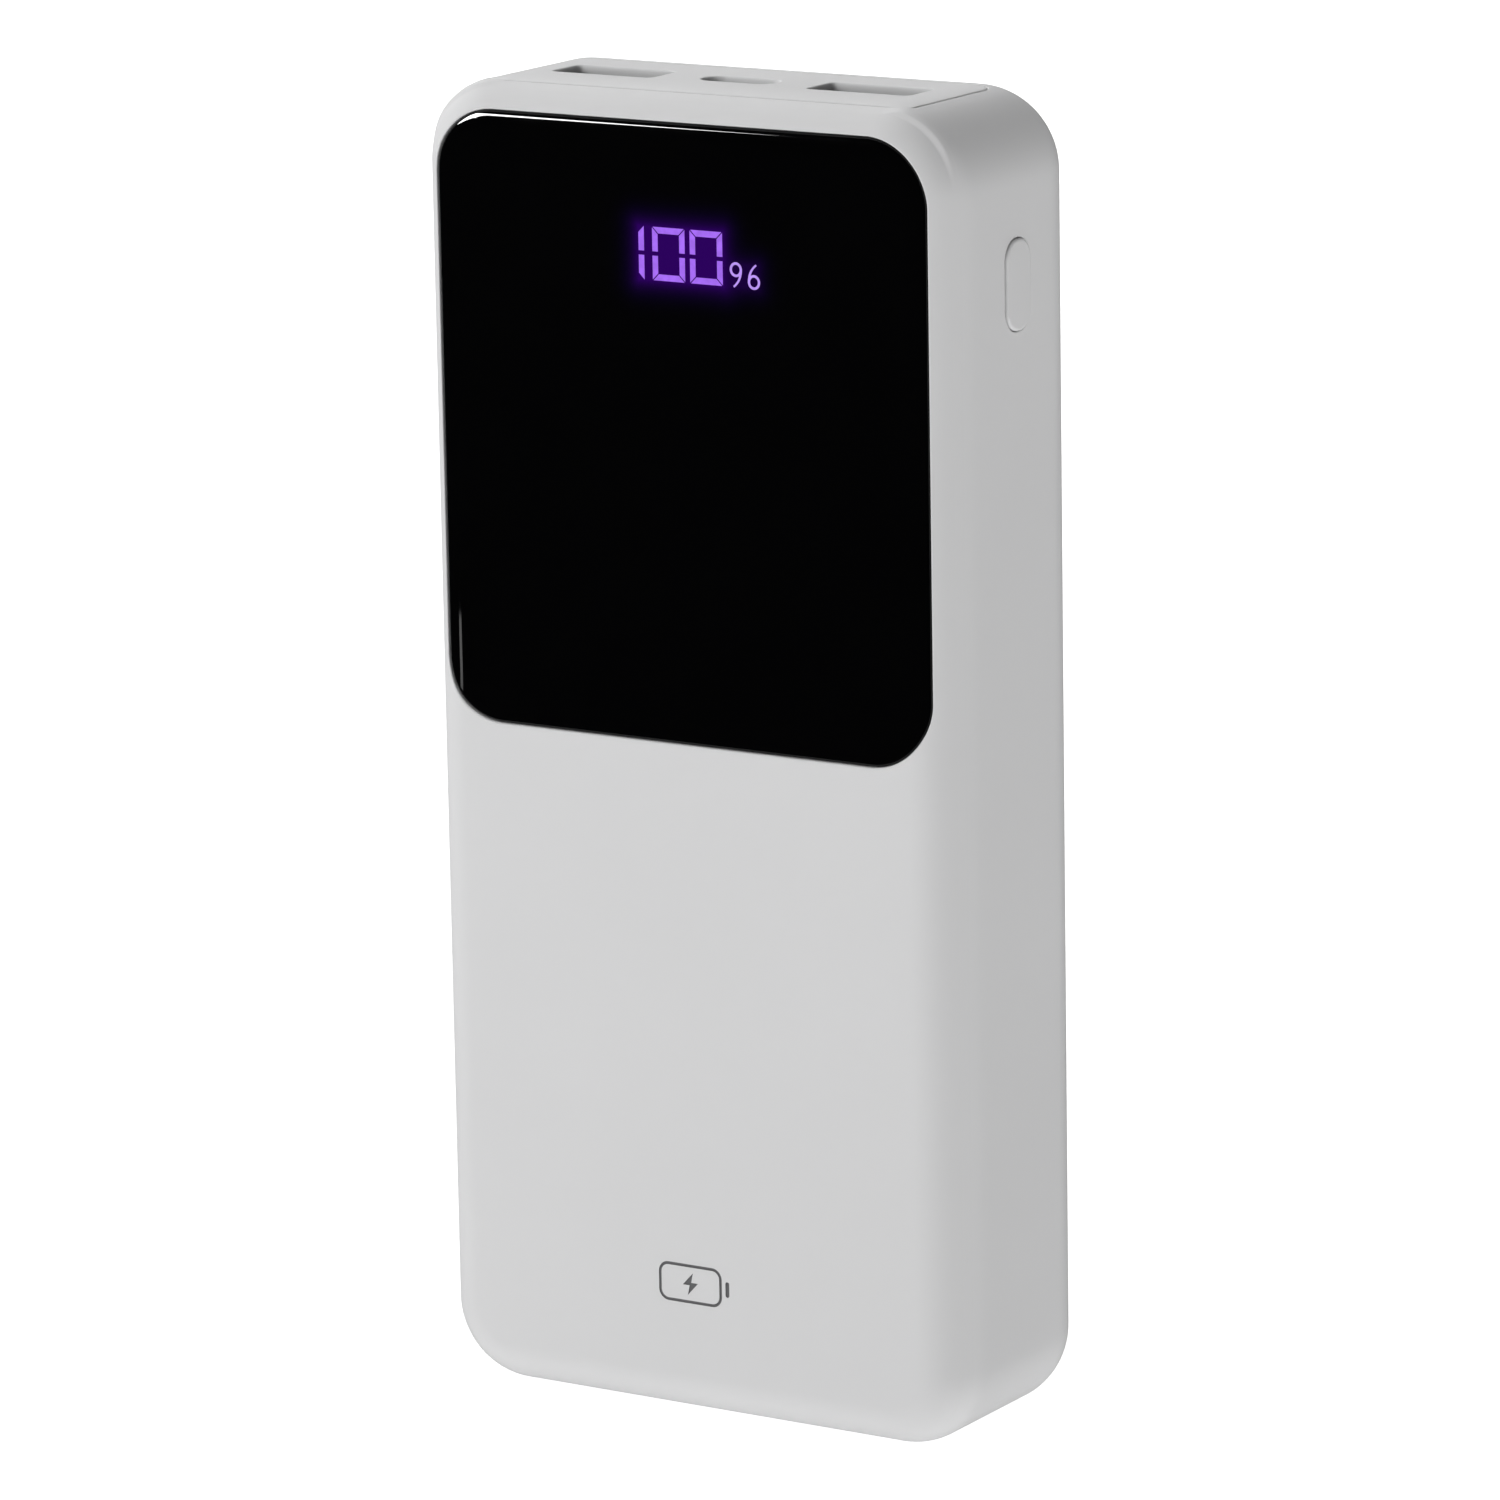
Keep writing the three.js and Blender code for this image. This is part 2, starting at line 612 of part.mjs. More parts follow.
function mainBoard() {
  const shape = roundedShape(-BOARD.halfWidth, BOARD.halfWidth, BOARD.bottom, BOARD.top, BOARD.radius);
  for (const [x, z] of SCREW_SPOTS) shape.holes.push(circlePath(x, z, BOSS.bore));
  return prismAlongY(shape, [BOARD.front, BOARD_REAR], 4);
}

function boardScrew([x, z]) {
  const { headRadius, headHeight, shankRadius, length } = SCREW;
  const profile = [
    [0, -length],
    [shankRadius * 0.6, -length],
    [shankRadius, -length + 0.8],
    [shankRadius, 0],
    [headRadius, 0],
    [headRadius, headHeight * 0.5],
    [headRadius * 0.6, headHeight],
    [0, headHeight],
  ].map(([radius, along]) => new THREE.Vector2(radius, along));
  const lathe = new THREE.LatheGeometry(profile, 16);
  const slot = headHeight - 0.6;
  return solidFrom(lathe)
    .subtract(block([-1, 1], [slot, FAR], [-0.25, 0.25]))
    .subtract(block([-0.25, 0.25], [slot, FAR], [-1, 1]))
    .translate([x, BOARD_REAR + TOUCH_GAP, z]);
}

function displayBlock() {
  const { x, z, width, height, thickness } = DISPLAY;
  const shape = roundedShape(x - width / 2, x + width / 2, z - height / 2, z + height / 2, 0.5);
  return prismAlongY(shape, [DISPLAY_FRONT, DISPLAY_FRONT + thickness], 2);
}

// The thin tinted film that spreads the light of the display block.
function displayFilm() {
  const { x, z, width, height } = DISPLAY;
  const rear = DISPLAY_FRONT - TOUCH_GAP;
  return block([x - width / 2, x + width / 2], [rear - DISPLAY_FILM, rear], [z - height / 2, z + height / 2]);
}

function displayBoard() {
  const { x, z } = DISPLAY;
  const { width, height } = DISPLAY_BOARD;
  const shape = roundedShape(x - width / 2, x + width / 2, z - height / 2, z + height / 2, 1);
  return prismAlongY(shape, [DISPLAY_BOARD_FRONT, DISPLAY_BOARD_REAR], 2);
}

// Pins between the display board and the main board, held by a spacer strip at each end.
function displayHeader() {
  const { pins, pitch, pinHalf, stripHalf, stripHeight, fromEdge } = HEADER;
  const z = DISPLAY.z - DISPLAY_BOARD.height / 2 + fromEdge;
  const start = DISPLAY_BOARD_REAR + TOUCH_GAP;
  const end = BOARD.front - TOUCH_GAP;
  const half = (pins * pitch) / 2;
  const strip = (y) => block([DISPLAY.x - half, DISPLAY.x + half], y, [z - stripHalf, z + stripHalf]);
  const pieces = [strip([start, start + stripHeight]), strip([end - stripHeight, end])];
  for (let pin = 0; pin < pins; pin += 1) {
    const x = DISPLAY.x - half + pitch * (pin + 0.5);
    pieces.push(block([x - pinHalf, x + pinHalf], [start, end], [z - pinHalf, z + pinHalf]));
  }
  return join(...pieces);
}

function inductor(x, z) {
  const { halfSize, radius, footing, height, footHalf } = INDUCTOR;
  const shape = roundedShape(x - halfSize, x + halfSize, z - halfSize, z + halfSize, radius);
  const core = prismAlongY(shape, [BOARD_REAR + footing, BOARD_REAR + height], 3);
  const feet = block(
    [x - halfSize, x + halfSize],
    [BOARD_REAR + TOUCH_GAP, BOARD_REAR + footing + OVERLAP],
    [z - footHalf, z + footHalf],
  );
  return join(core, feet);
}

function chip({ x, z, half, thickness }) {
  const y = [BOARD_REAR + TOUCH_GAP, BOARD_REAR + thickness];
  return block([x - half, x + half], y, [z - half, z + half]);
}

function canCapacitor(x, z) {
  const { radius, height, groove, baseHalf, baseHeight } = CAPACITOR;
  const profile = [
    [0, 0],
    [radius, 0],
    [radius, baseHeight + groove],
    [radius - groove, baseHeight + 2 * groove],
    [radius, baseHeight + 3 * groove],
    [radius, height - 2 * groove],
    [radius - 2 * groove, height],
    [0, height],
  ].map(([across, along]) => new THREE.Vector2(across, along));
  const can = solidFrom(new THREE.LatheGeometry(profile, 18));
  return join(can, block([-baseHalf, baseHalf], [0, baseHeight], [-baseHalf, baseHalf]))
    .translate([x, BOARD_REAR + TOUCH_GAP, z]);
}

// ---- Cells, foam and wiring ----

function cell(front) {
  const fillet = { inset: CELL.edgeRadius, depth: CELL.edgeRadius };
  return pillow({
    halfWidth: CELL.width / 2,
    bottom: CELL.bottom,
    top: CELL_TOP,
    radius: CELL.cornerRadius,
    front,
    rear: front + CELL.thickness,
    frontFillet: fillet,
    rearFillet: fillet,
    steps: 4,
  });
}

function cellTape() {
  const rear = CELL_REAR_Y - TOUCH_GAP;
  const { halfWidth, thickness, z } = CELL_TAPE;
  return block([-halfWidth, halfWidth], [rear - thickness, rear], z);
}

function frontFoamPad() {
  const y = [CAVITY_FRONT + TOUCH_GAP, CELL_FRONT_Y - TOUCH_GAP];
  return block([-FOAM.halfWidth, FOAM.halfWidth], y, FOAM.frontZ);
}

function rearFoamPad() {
  const y = [CELL_REAR_Y + CELL.thickness + TOUCH_GAP, REAR_Y - WALL - TOUCH_GAP];
  return block([-FOAM.halfWidth, FOAM.halfWidth], y, FOAM.rearZ);
}

function baseFoamPad() {
  return block([-FOAM.halfWidth, FOAM.halfWidth], FOAM.baseY, [WALL + TOUCH_GAP, CELL.bottom - TOUCH_GAP]);
}

// A cell's tab comes straight up out of the pouch and folds over onto the guard board.
function cellTab(x, cellFront, towards) {
  const y = cellFront + CELL.thickness / 2;
  const fold = GUARD_TOP + TOUCH_GAP;
  const end = y + towards * TAB.fold;
  const acrossX = [x - TAB.width / 2, x + TAB.width / 2];
  const acrossY = [y - TAB.thickness / 2, y + TAB.thickness / 2];
  return join(
    block(acrossX, acrossY, [CELL_TOP + TOUCH_GAP, fold + TAB.thickness]),
    block(acrossX, [Math.min(y, end), Math.max(y, end)], [fold, fold + TAB.thickness]),
  );
}

function guardBoard() {
  const { halfWidth, halfDepth, radius, bottom } = GUARD_BOARD;
  const shape = roundedShape(-halfWidth, halfWidth, -halfDepth, halfDepth, radius);
  return prismAlongZ(shape, [bottom, GUARD_TOP], 2);
}

function insulationSheet() {
  const { halfWidth, front, rear, radius, bottom, thickness } = SHEET;
  const shape = roundedShape(-halfWidth, halfWidth, front, rear, radius);
  const slotY = [LEAD.startY - LEAD_SLOT.half, LEAD.startY + LEAD_SLOT.rear];
  for (const x of [-LEAD.x, LEAD.x]) {
    const slotX = [x - LEAD_SLOT.half, x + LEAD_SLOT.half];
    shape.holes.push(roundedShape(...slotX, ...slotY, LEAD_SLOT.radius, THREE.Path));
  }
  return prismAlongZ(shape, [bottom, bottom + thickness], 3);
}

// A lead rises from the guard board and bends back to lie along the rear of the main board.
function lead(x) {
  const restY = BOARD_REAR + LEAD.radius + LEAD.boardGap;
  const path = new THREE.CatmullRomCurve3([
    new THREE.Vector3(x, LEAD.startY, GUARD_TOP + PIECE_GAP),
    new THREE.Vector3(x, LEAD.startY + 0.1, GUARD_TOP + 2 * PIECE_GAP),
    new THREE.Vector3(x, restY, GUARD_TOP + 5 * PIECE_GAP),
    new THREE.Vector3(x, restY, GUARD_TOP + LEAD.rise),
  ]);
  const round = new THREE.Shape().absarc(0, 0, LEAD.radius, 0, Math.PI * 2, false);
  const geometry = new THREE.ExtrudeGeometry(round, {
    steps: 10,
    curveSegments: 5,
    bevelEnabled: false,
    extrudePath: path,
  });
  return solidFrom(geometry);
}

// ---- Assembly ----

const group = new THREE.Group();

group.add(
  part("front_housing", frontHousing(), shellWhite()),
  part("rear_cover", rearCover(), shellWhite()),
  part("port_plate", portPlate(), shellWhite()),
  part("display_panel", displayPanel(), panelBlack()),
  part("panel_tape", panelTape(), tapeBlack()),
);

group.add(
  part("power_button", powerButton(), shellWhite()),
  part("switch_body", switchBody(), steel()),
  part("switch_plunger", switchPlunger(), blackPlastic()),
);

for (const [side, x] of [["left", -USB_A.x], ["right", USB_A.x]]) {
  group.add(
    part(`usb_a_${side}_shell`, usbAShell(x), steel()),
    part(`usb_a_${side}_insulator`, usbAInsulator(x), blackPlastic()),
  );
}
group.add(
  part("usb_c_shell", usbCShell(), steel()),
  part("usb_c_insulator", usbCInsulator(), blackPlastic()),
);

group.add(
  part("main_board", mainBoard(), boardGreen()),
  part("display_board", displayBoard(), boardGreen()),
  part("display_block", displayBlock(), blackPlastic()),
  part("display_film", displayFilm(), violetLight()),
  part("display_header", displayHeader(), blackPlastic()),
  part("controller_chip", chip(CHIPS.controller), blackPlastic()),
  part("charge_chip", chip(CHIPS.charge), blackPlastic()),
);
SCREW_SPOTS.forEach((spot, index) =>
  group.add(part(`board_screw_${index + 1}`, boardScrew(spot), steel())),
);
INDUCTOR_PLACES.x.forEach((x, index) =>
  group.add(part(`inductor_${index + 1}`, inductor(x, INDUCTOR_PLACES.z), ferrite())),
);
CAPACITOR_PLACES.x.forEach((x, index) =>
  group.add(part(`capacitor_${index + 1}`, canCapacitor(x, CAPACITOR_PLACES.z), canAluminium())),
);

group.add(
  part("cell_front", cell(CELL_FRONT_Y), pouchFoil()),
  part("cell_rear", cell(CELL_REAR_Y), pouchFoil()),
  part("cell_tape", cellTape(), tapeBlack()),
  part("front_foam_pad", frontFoamPad(), foamGrey()),
  part("rear_foam_pad", rearFoamPad(), foamGrey()),
  part("base_foam_pad", baseFoamPad(), foamGrey()),
  part("guard_board", guardBoard(), boardGreen()),
  part("insulation_sheet", insulationSheet(), greyPaper()),
  part("red_lead", lead(-LEAD.x), redInsulation()),
  part("black_lead", lead(LEAD.x), blackPlastic()),
);
for (const [place, front, towards] of [["front", CELL_FRONT_Y, 1], ["rear", CELL_REAR_Y, -1]]) {
  group.add(
    part(`tab_${place}_positive`, cellTab(-TAB.x, front, towards), nickel()),
    part(`tab_${place}_negative`, cellTab(TAB.x, front, towards), nickel()),
  );
}

export default group;
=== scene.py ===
"""The looks of a tall power bank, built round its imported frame.

Shapes are worked out in millimetres, in the frame's own axes, and scaled once when a mesh is made.
-Y is the display side, +X the button side and +Z the top, where the ports are.
"""

import json
import math
from collections import namedtuple
from copy import copy
from functools import partial

import bmesh
import bpy
from mathutils import Matrix, Vector
from mathutils.geometry import delaunay_2d_cdt


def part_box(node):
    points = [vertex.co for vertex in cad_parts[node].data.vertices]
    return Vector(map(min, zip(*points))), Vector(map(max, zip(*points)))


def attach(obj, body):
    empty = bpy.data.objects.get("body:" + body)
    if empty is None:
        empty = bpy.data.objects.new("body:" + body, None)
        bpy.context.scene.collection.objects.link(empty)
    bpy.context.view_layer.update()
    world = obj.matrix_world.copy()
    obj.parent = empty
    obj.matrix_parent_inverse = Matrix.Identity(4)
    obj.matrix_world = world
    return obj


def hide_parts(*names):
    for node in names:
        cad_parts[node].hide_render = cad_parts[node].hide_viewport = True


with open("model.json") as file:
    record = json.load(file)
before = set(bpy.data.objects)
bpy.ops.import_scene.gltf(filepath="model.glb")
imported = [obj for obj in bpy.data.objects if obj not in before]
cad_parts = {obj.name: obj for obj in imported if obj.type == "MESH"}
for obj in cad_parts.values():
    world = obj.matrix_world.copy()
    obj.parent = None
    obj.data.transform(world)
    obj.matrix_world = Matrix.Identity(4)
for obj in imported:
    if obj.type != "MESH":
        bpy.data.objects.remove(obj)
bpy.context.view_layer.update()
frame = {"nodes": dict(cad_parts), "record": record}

MM = 0.001


def span(node):
    """Lowest and highest corner of a CAD node, in millimetres."""
    low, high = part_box(node)
    return low / MM, high / MM


# ---- Sizes in millimetres, from the frame and a few driving dimensions ----

Fillet = namedtuple("Fillet", "inset depth")
Steps = namedtuple("Steps", "across up corner")

HOUSING_LOW, HOUSING_HIGH = span("front_housing")
COVER_HIGH = span("rear_cover")[1]
PANEL_LOW, PANEL_HIGH = span("display_panel")
PLATE_LOW, PLATE_HIGH = span("port_plate")
BUTTON_LOW, BUTTON_HIGH = span("power_button")

FRONT_Y = HOUSING_LOW.y
REAR_Y = COVER_HIGH.y
CORNER_RADIUS = 9.4
FRONT_FILLET = Fillet(5.4, 6.1)
REAR_FILLET = Fillet(8.6, 8)
WALL = 1.8
FRONT_WALL = 2.8
TOP_WALL = 3.5
CAVITY_FRONT_FILLET = Fillet(5, 5)
SEAM_Y = HOUSING_HIGH.y + 0.05
SEAM_GAP = 0.06
SEAM_EDGE = 0.16

PANEL_RADIUS = 7.4
PANEL_SINK = 0.1
PANEL_THICKNESS = 1.2
PANEL_EDGE = Fillet(0.6, 0.35)
RECESS_DEPTH = 1.7
RECESS_EDGE = 0.22
PIECE_GAP = 0.12

PLATE_RADIUS = 1.2
PLATE_FRONT = -10.8
PLATE_REAR = 6.8
PLATE_THICKNESS = 1.6
PLATE_LEDGE = 1.9
PLATE_EDGE = 0.14
SEAT_DEPTH = PLATE_THICKNESS + 0.3
WINDOW_RADIUS = 0.4

BUTTON_RADIUS = 2.4
BUTTON_HALF_WIDTH = 2.6
BUTTON_HALF_HEIGHT = 5.05
BUTTON_Z = (BUTTON_LOW.z + BUTTON_HIGH.z) / 2
BUTTON_EDGE = Fillet(0.36, 0.24)
BUTTON_HOLE_EDGE = 0.14
BUTTON_FLANGE = 1.0
BUTTON_FLANGE_THICKNESS = 1
BUTTON_FLANGE_GAP = 0.15
BUTTON_CROWN_INSET = 1.7
BUTTON_CROWN_DROPS = (0.03, 0.015)
BUTTON_NUB_INSET = 1.1

# The brow is a soft step round the top corners. It starts at BROW_Y and has sunk back at BROW_END.
# Its turns are degrees round the corner, from the top: full at the first, fading between the others.
BROW_Y = -12.4
BROW_WIDTH = 0.5
BROW_END = -9
BROW_HEIGHT = 0.34
BROW_FULL = 14
BROW_FADE = 52
BROW_GONE = 84
BROW_STEPS = 5

CENTRE = Vector((0, 0, (HOUSING_LOW.z + HOUSING_HIGH.z) / 2))

# Mesh steps, the turns in degrees where a fillet's rings end, and the room kept round an opening.
BODY_STEPS = Steps(20, 52, 24)
FRONT_SPLIT_TURN = 50
REAR_SPLIT_TURN = 84
CAVITY_SPLIT_TURN = 80
OPENING_ROOM = 0.3


# ---- Outlines and the body's surface ----


class Outline:
    """A rounded rectangle, walked anticlockwise from the middle of its low side."""

    def __init__(self, left, right, low, high, radius, steps=Steps(8, 8, 8)):
        self.left, self.right = left + radius, right - radius
        self.low, self.high = low + radius, high - radius
        self.radius = radius
        self.samples = []
        self.along = []
        self.length = 0
        middle = (left + right) / 2
        stops = [
            Vector((middle, self.low)),
            Vector((self.right, self.low)),
            Vector((self.right, self.high)),
            Vector((self.left, self.high)),
            Vector((self.left, self.low)),
            Vector((middle, self.low)),
        ]
        counts = [steps.across // 2, steps.up, steps.across, steps.up, steps.across // 2]
        for leg, count in enumerate(counts):
            start, end = stops[leg], stops[leg + 1]
            for step in range(count):
                self._walk(start.lerp(end, step / count), leg - 1, (end - start).length / count)
            for step in range(steps.corner if leg < 4 else 0):
                self._walk(end, leg - 1 + step / steps.corner, radius * math.pi / 2 / steps.corner)

    def _walk(self, core, quarters, pace):
        angle = quarters * math.pi / 2
        self.samples.append((core, Vector((math.cos(angle), math.sin(angle)))))
        self.along.append(self.length)
        self.length += pace

    def at(self, growth=0.0):
        """The outline's points, moved outwards by growth."""
        return [core + outward * (self.radius + growth) for core, outward in self.samples]

    def distance(self, u, v):
        """Distance outside the outline, negative inside it."""
        du = max(self.left - u, u - self.right)
        dv = max(self.low - v, v - self.high)
        return math.hypot(max(du, 0), max(dv, 0)) + min(max(du, dv), 0) - self.radius


class Body:
    """A rounded box: an upright outline that draws in towards the front and the rear."""

    def __init__(self, outline, front, rear, front_fillet, rear_fillet):
        self.outline = outline
        self.front, self.rear = front, rear
        self.front_fillet, self.rear_fillet = front_fillet, rear_fillet

    def inset_at(self, y):
        beyond_front = self.front + self.front_fillet.depth - y
        beyond_rear = y - self.rear + self.rear_fillet.depth
        if beyond_front > 0:
            return drawn_in(self.front_fillet, beyond_front)
        return drawn_in(self.rear_fillet, max(beyond_rear, 0))

    def ring(self, y, extra_inset=0.0):
        inset = self.inset_at(y) + extra_inset
        return [(point.x, y, point.y) for point in self.outline.at(-inset)]

    def lift(self, face, u, v, depth=0.0):
        """The point of a face over plane coordinates u and v, sunk straight in by depth."""
        outline = self.outline
        if face == "front":
            return (u, self.front + dip(self.front_fillet, -outline.distance(u, v)) + depth, v)
        if face == "rear":
            return (u, self.rear - dip(self.rear_fillet, -outline.distance(u, v)) - depth, v)
        if face == "top":
            radius = outline.radius - self.inset_at(v)
            beside = max(abs(u) - outline.right, 0)
            return (u, v, outline.high + math.sqrt(radius**2 - beside**2) - depth)
        radius = outline.radius - self.inset_at(u)
        beside = max(v - outline.high, outline.low - v, 0)
        return (outline.right + math.sqrt(radius**2 - beside**2) - depth, u, v)

    def unroll(self, point):
        """Distance round the outline, and depth, of a point on the top or on the +X side."""
        x, y, z = point
        outline = self.outline
        near_x = min(max(x, outline.left), outline.right)
        near_z = min(max(z, outline.low), outline.high)
        quarter = outline.radius * math.pi / 2
        side_start = outline.right + quarter
        if z > outline.high:
            top_start = side_start + outline.high - outline.low + quarter
            turn = math.atan2(x - near_x, z - near_z)
            return top_start + outline.right - near_x - outline.radius * turn, y
        turn = math.atan2(z - near_z, x - near_x)
        return side_start + near_z - outline.low + outline.radius * turn, y


def drawn_in(fillet, beyond):
    """How far an elliptic fillet draws its outline in, beyond its start."""
    return fillet.inset * (1 - math.sqrt(max(1 - (beyond / fillet.depth) ** 2, 0)))


def dip(fillet, inset):
    """How far an elliptic fillet lies behind its flat face, at an inset from the widest outline."""
    share = 1 - min(inset / fillet.inset, 1)
    return fillet.depth * (1 - math.sqrt(max(1 - share**2, 0)))


def fillet_turns(fillet, first, last, steps):
    """Insets and dips along a fillet between two turns, in degrees, from the side to the face."""
    turns = [math.radians(first + (last - first) * step / steps) for step in range(steps + 1)]
    return [(fillet.inset * (1 - math.cos(t)), fillet.depth * (1 - math.sin(t))) for t in turns]


# ---- Meshes ----

# For each face, the axes of its plane, and the axis and sign that it looks along.
PLANES = {"front": (0, 2), "rear": (0, 2), "top": (0, 1), "side": (1, 2)}
OUTWARDS = {"front": (1, -1), "rear": (1, 1), "top": (2, 1), "side": (0, 1)}
FILL_INSIDE_ONLY = 1
FILL_MERGE = 1e-7


def inside(border, point):
    """Whether a point lies inside a border of (u, v, id) entries."""
    crossings = 0
    for (u0, v0, _), (u1, v1, _) in zip(border, [*border[1:], border[0]]):
        if (v0 > point.y) != (v1 > point.y):
            crossings += u0 + (u1 - u0) * (point.y - v0) / (v1 - v0) > point.x
    return crossings % 2 == 1


class Opening:
    """An opening in a face: the rings that lead from the surface into it."""

    def __init__(self, face, outline, rings, reach):
        self.face, self.outline, self.rings, self.reach = face, outline, rings, reach

    def covers(self, point):
        axis, sign = OUTWARDS[self.face]
        if (point[axis] - CENTRE[axis]) * sign < 0:
            return False
        u, v = (point[axis] for axis in PLANES[self.face])
        return self.outline.distance(u, v) < self.reach


class MeshMaker:
    """Points and faces of one closed piece."""

    def __init__(self):
        self.points = []
        self.faces = []
        self.paints = []
        self.paint = 0

    def add(self, point):
        self.points.append(Vector(point))
        return len(self.points) - 1

    def ring(self, points):
        return [self.add(point) for point in points]

    def face(self, corners):
        self.faces.append(corners)
        self.paints.append(self.paint)

    def bridge(self, *rings):
        """Faces between each ring and the next."""
        for first, second in zip(rings, rings[1:]):
            for k in range(len(first)):
                self.face((first[k - 1], first[k], second[k], second[k - 1]))

    def contour(self, lift, outline, profile):
        """Bridged rings along an outline, one for each (growth, depth) of the profile."""
        rings = [self.ring(lift(*uv, depth) for uv in outline.at(growth)) for growth, depth in profile]
        self.bridge(*rings)
        return rings

    def flat(self, ids, face):
        """(u, v, id) of each point, in the plane of a face."""
        first, second = PLANES[face]
        return [(self.points[i][first], self.points[i][second], i) for i in ids]

    def fill(self, borders, loose=()):
        """Triangles inside the first border and outside the others, through the loose points."""
        entries = []
        edges = []
        owners = []
        for owner, border in enumerate(borders):
            start, count = len(entries), len(border)
            entries += border
            owners += [owner] * count
            edges += [(start + k, start + (k + 1) % count) for k in range(count)]
        entries += loose
        owners += [0] * len(loose)
        places = [Vector((u, v)) for u, v, _ in entries]
        filled = delaunay_2d_cdt(places, edges, [], FILL_INSIDE_ONLY, FILL_MERGE)
        _, _, triangles, origins, _, _ = filled
        for triangle in triangles:
            corners = [origins[corner][0] for corner in triangle]
            owner = owners[corners[0]]
            one_hole = owner > 0 and all(owners[corner] == owner for corner in corners)
            middle = sum((places[corner] for corner in corners), Vector((0, 0))) / 3
            if not (one_hole and inside(borders[owner], middle)):
                self.face([entries[corner][2] for corner in corners])

    def close(self, ring, face):
        """A plain cap over a ring."""
        self.fill([self.flat(ring, face)])

    def make(self, name, materials, sharp_degrees=38):
        mesh = bpy.data.meshes.new(name)
        mesh.from_pydata([point * MM for point in self.points], [], self.faces)
        mesh.polygons.foreach_set("material_index", self.paints)
        for material in materials:
            mesh.materials.append(material)
        editable = bmesh.new()
        editable.from_mesh(mesh)
        bmesh.ops.recalc_face_normals(editable, faces=editable.faces)
        editable.to_mesh(mesh)
        editable.free()
        mesh.shade_smooth()
        mesh.set_sharp_from_angle(angle=math.radians(sharp_degrees))
        piece = bpy.data.objects.new(name, mesh)
        bpy.context.scene.collection.objects.link(piece)
        return piece


def rounding(width, depth, side, steps=4, support=0.1):
    """(growth, depth) pairs from a surface down into a wall. Side is 1 round a hole, -1 on a piece."""
    turns = [math.pi / 2 * step / steps for step in range(steps + 1)]
    pairs = [(side * width * (1 - math.sin(t)), depth * (1 - math.cos(t))) for t in turns]
    return [(side * (width + support), 0.0), *pairs]


def sunk(profile, depth):
    """The same profile, with every ring lying deeper."""
    return [(growth, below + depth) for growth, below in profile]


def opening(mesh, face, outline, profile):
    """An opening in the outer body, with its first rings."""
    rings = mesh.contour(partial(outer.lift, face), outline, profile)
    clear = 0.25
    return Opening(face, outline, rings, profile[0][0] + clear)


def fill_side(mesh, body, depths, openings):
    """The side of a body, once round its outline. Returns its first and last ring."""
    outline = body.outline
    first = mesh.ring(body.ring(depths[0]))
    last = mesh.ring(body.ring(depths[-1]))
    between = depths[1:-1]
    cut = [mesh.add(body.ring(y)[0]) for y in between]
    loose = []
    for y in between:
        for along, point in list(zip(outline.along, body.ring(y)))[1:]:
            if not any(hole.covers(point) for hole in openings):
                loose.append((along, y, mesh.add(point)))
    border = [(along, depths[0], i) for along, i in zip(outline.along, first)]
    border.append((outline.length, depths[0], first[0]))
    border += [(outline.length, y, i) for y, i in zip(between, cut)]
    border.append((outline.length, depths[-1], last[0]))
    border += [(along, depths[-1], i) for along, i in reversed(list(zip(outline.along, last)))]
    border += [(0, y, i) for y, i in reversed(list(zip(between, cut)))]
    holes = [[(*body.unroll(mesh.points[i]), i) for i in hole.rings[0]] for hole in openings]
    mesh.fill([border, *holes], loose)
    return first, last


def face_points(body, fillet, first_turn, steps, grid):
    """Plane coordinates over a whole face: rings along its fillet, then a grid on its flat."""
    outline = body.outline
    places = []
    for inset, _ in fillet_turns(fillet, first_turn, 90, steps)[1:]:
        places += [(point.x, point.y) for point in outline.at(-inset)]
    columns = round(2 * outline.right / grid)
    rows = round((outline.high - outline.low) / grid)
    for column in range(columns + 1):
        for row in range(rows + 1):
            x = outline.left + 2 * outline.right * column / columns
            z = outline.low + (outline.high - outline.low) * row / rows
            if -outline.distance(x, z) > fillet.inset + grid / 3:
                places.append((x, z))
    return places


def fill_face(mesh, body, face, border, openings, places, depth=0.0, keep=lambda u, v: True):
    """A front or rear face inside a border ring, with openings, through points over the places."""
    loose = []
    for u, v in places:
        point = body.lift(face, u, v, depth)
        if keep(u, v) and not any(hole.covers(point) for hole in openings):
            loose.append((u, v, mesh.add(point)))
    holes = [mesh.flat(hole.rings[0], face) for hole in openings]
    mesh.fill([mesh.flat(border, face), *holes], loose)


# ---- The body's surfaces ----

outer = Body(
    Outline(HOUSING_LOW.x, HOUSING_HIGH.x, HOUSING_LOW.z, HOUSING_HIGH.z, CORNER_RADIUS, BODY_STEPS),
    FRONT_Y,
    REAR_Y,
    FRONT_FILLET,
    REAR_FILLET,
)
cavity = Body(
    Outline(
        HOUSING_LOW.x + WALL,
        HOUSING_HIGH.x - WALL,
        HOUSING_LOW.z + WALL,
        HOUSING_HIGH.z - TOP_WALL,
        CORNER_RADIUS - WALL,
        BODY_STEPS,
    ),
    FRONT_Y + FRONT_WALL,
    REAR_Y - WALL,
    CAVITY_FRONT_FILLET,
    Fillet(REAR_FILLET.inset - WALL, REAR_FILLET.depth - WALL),
)


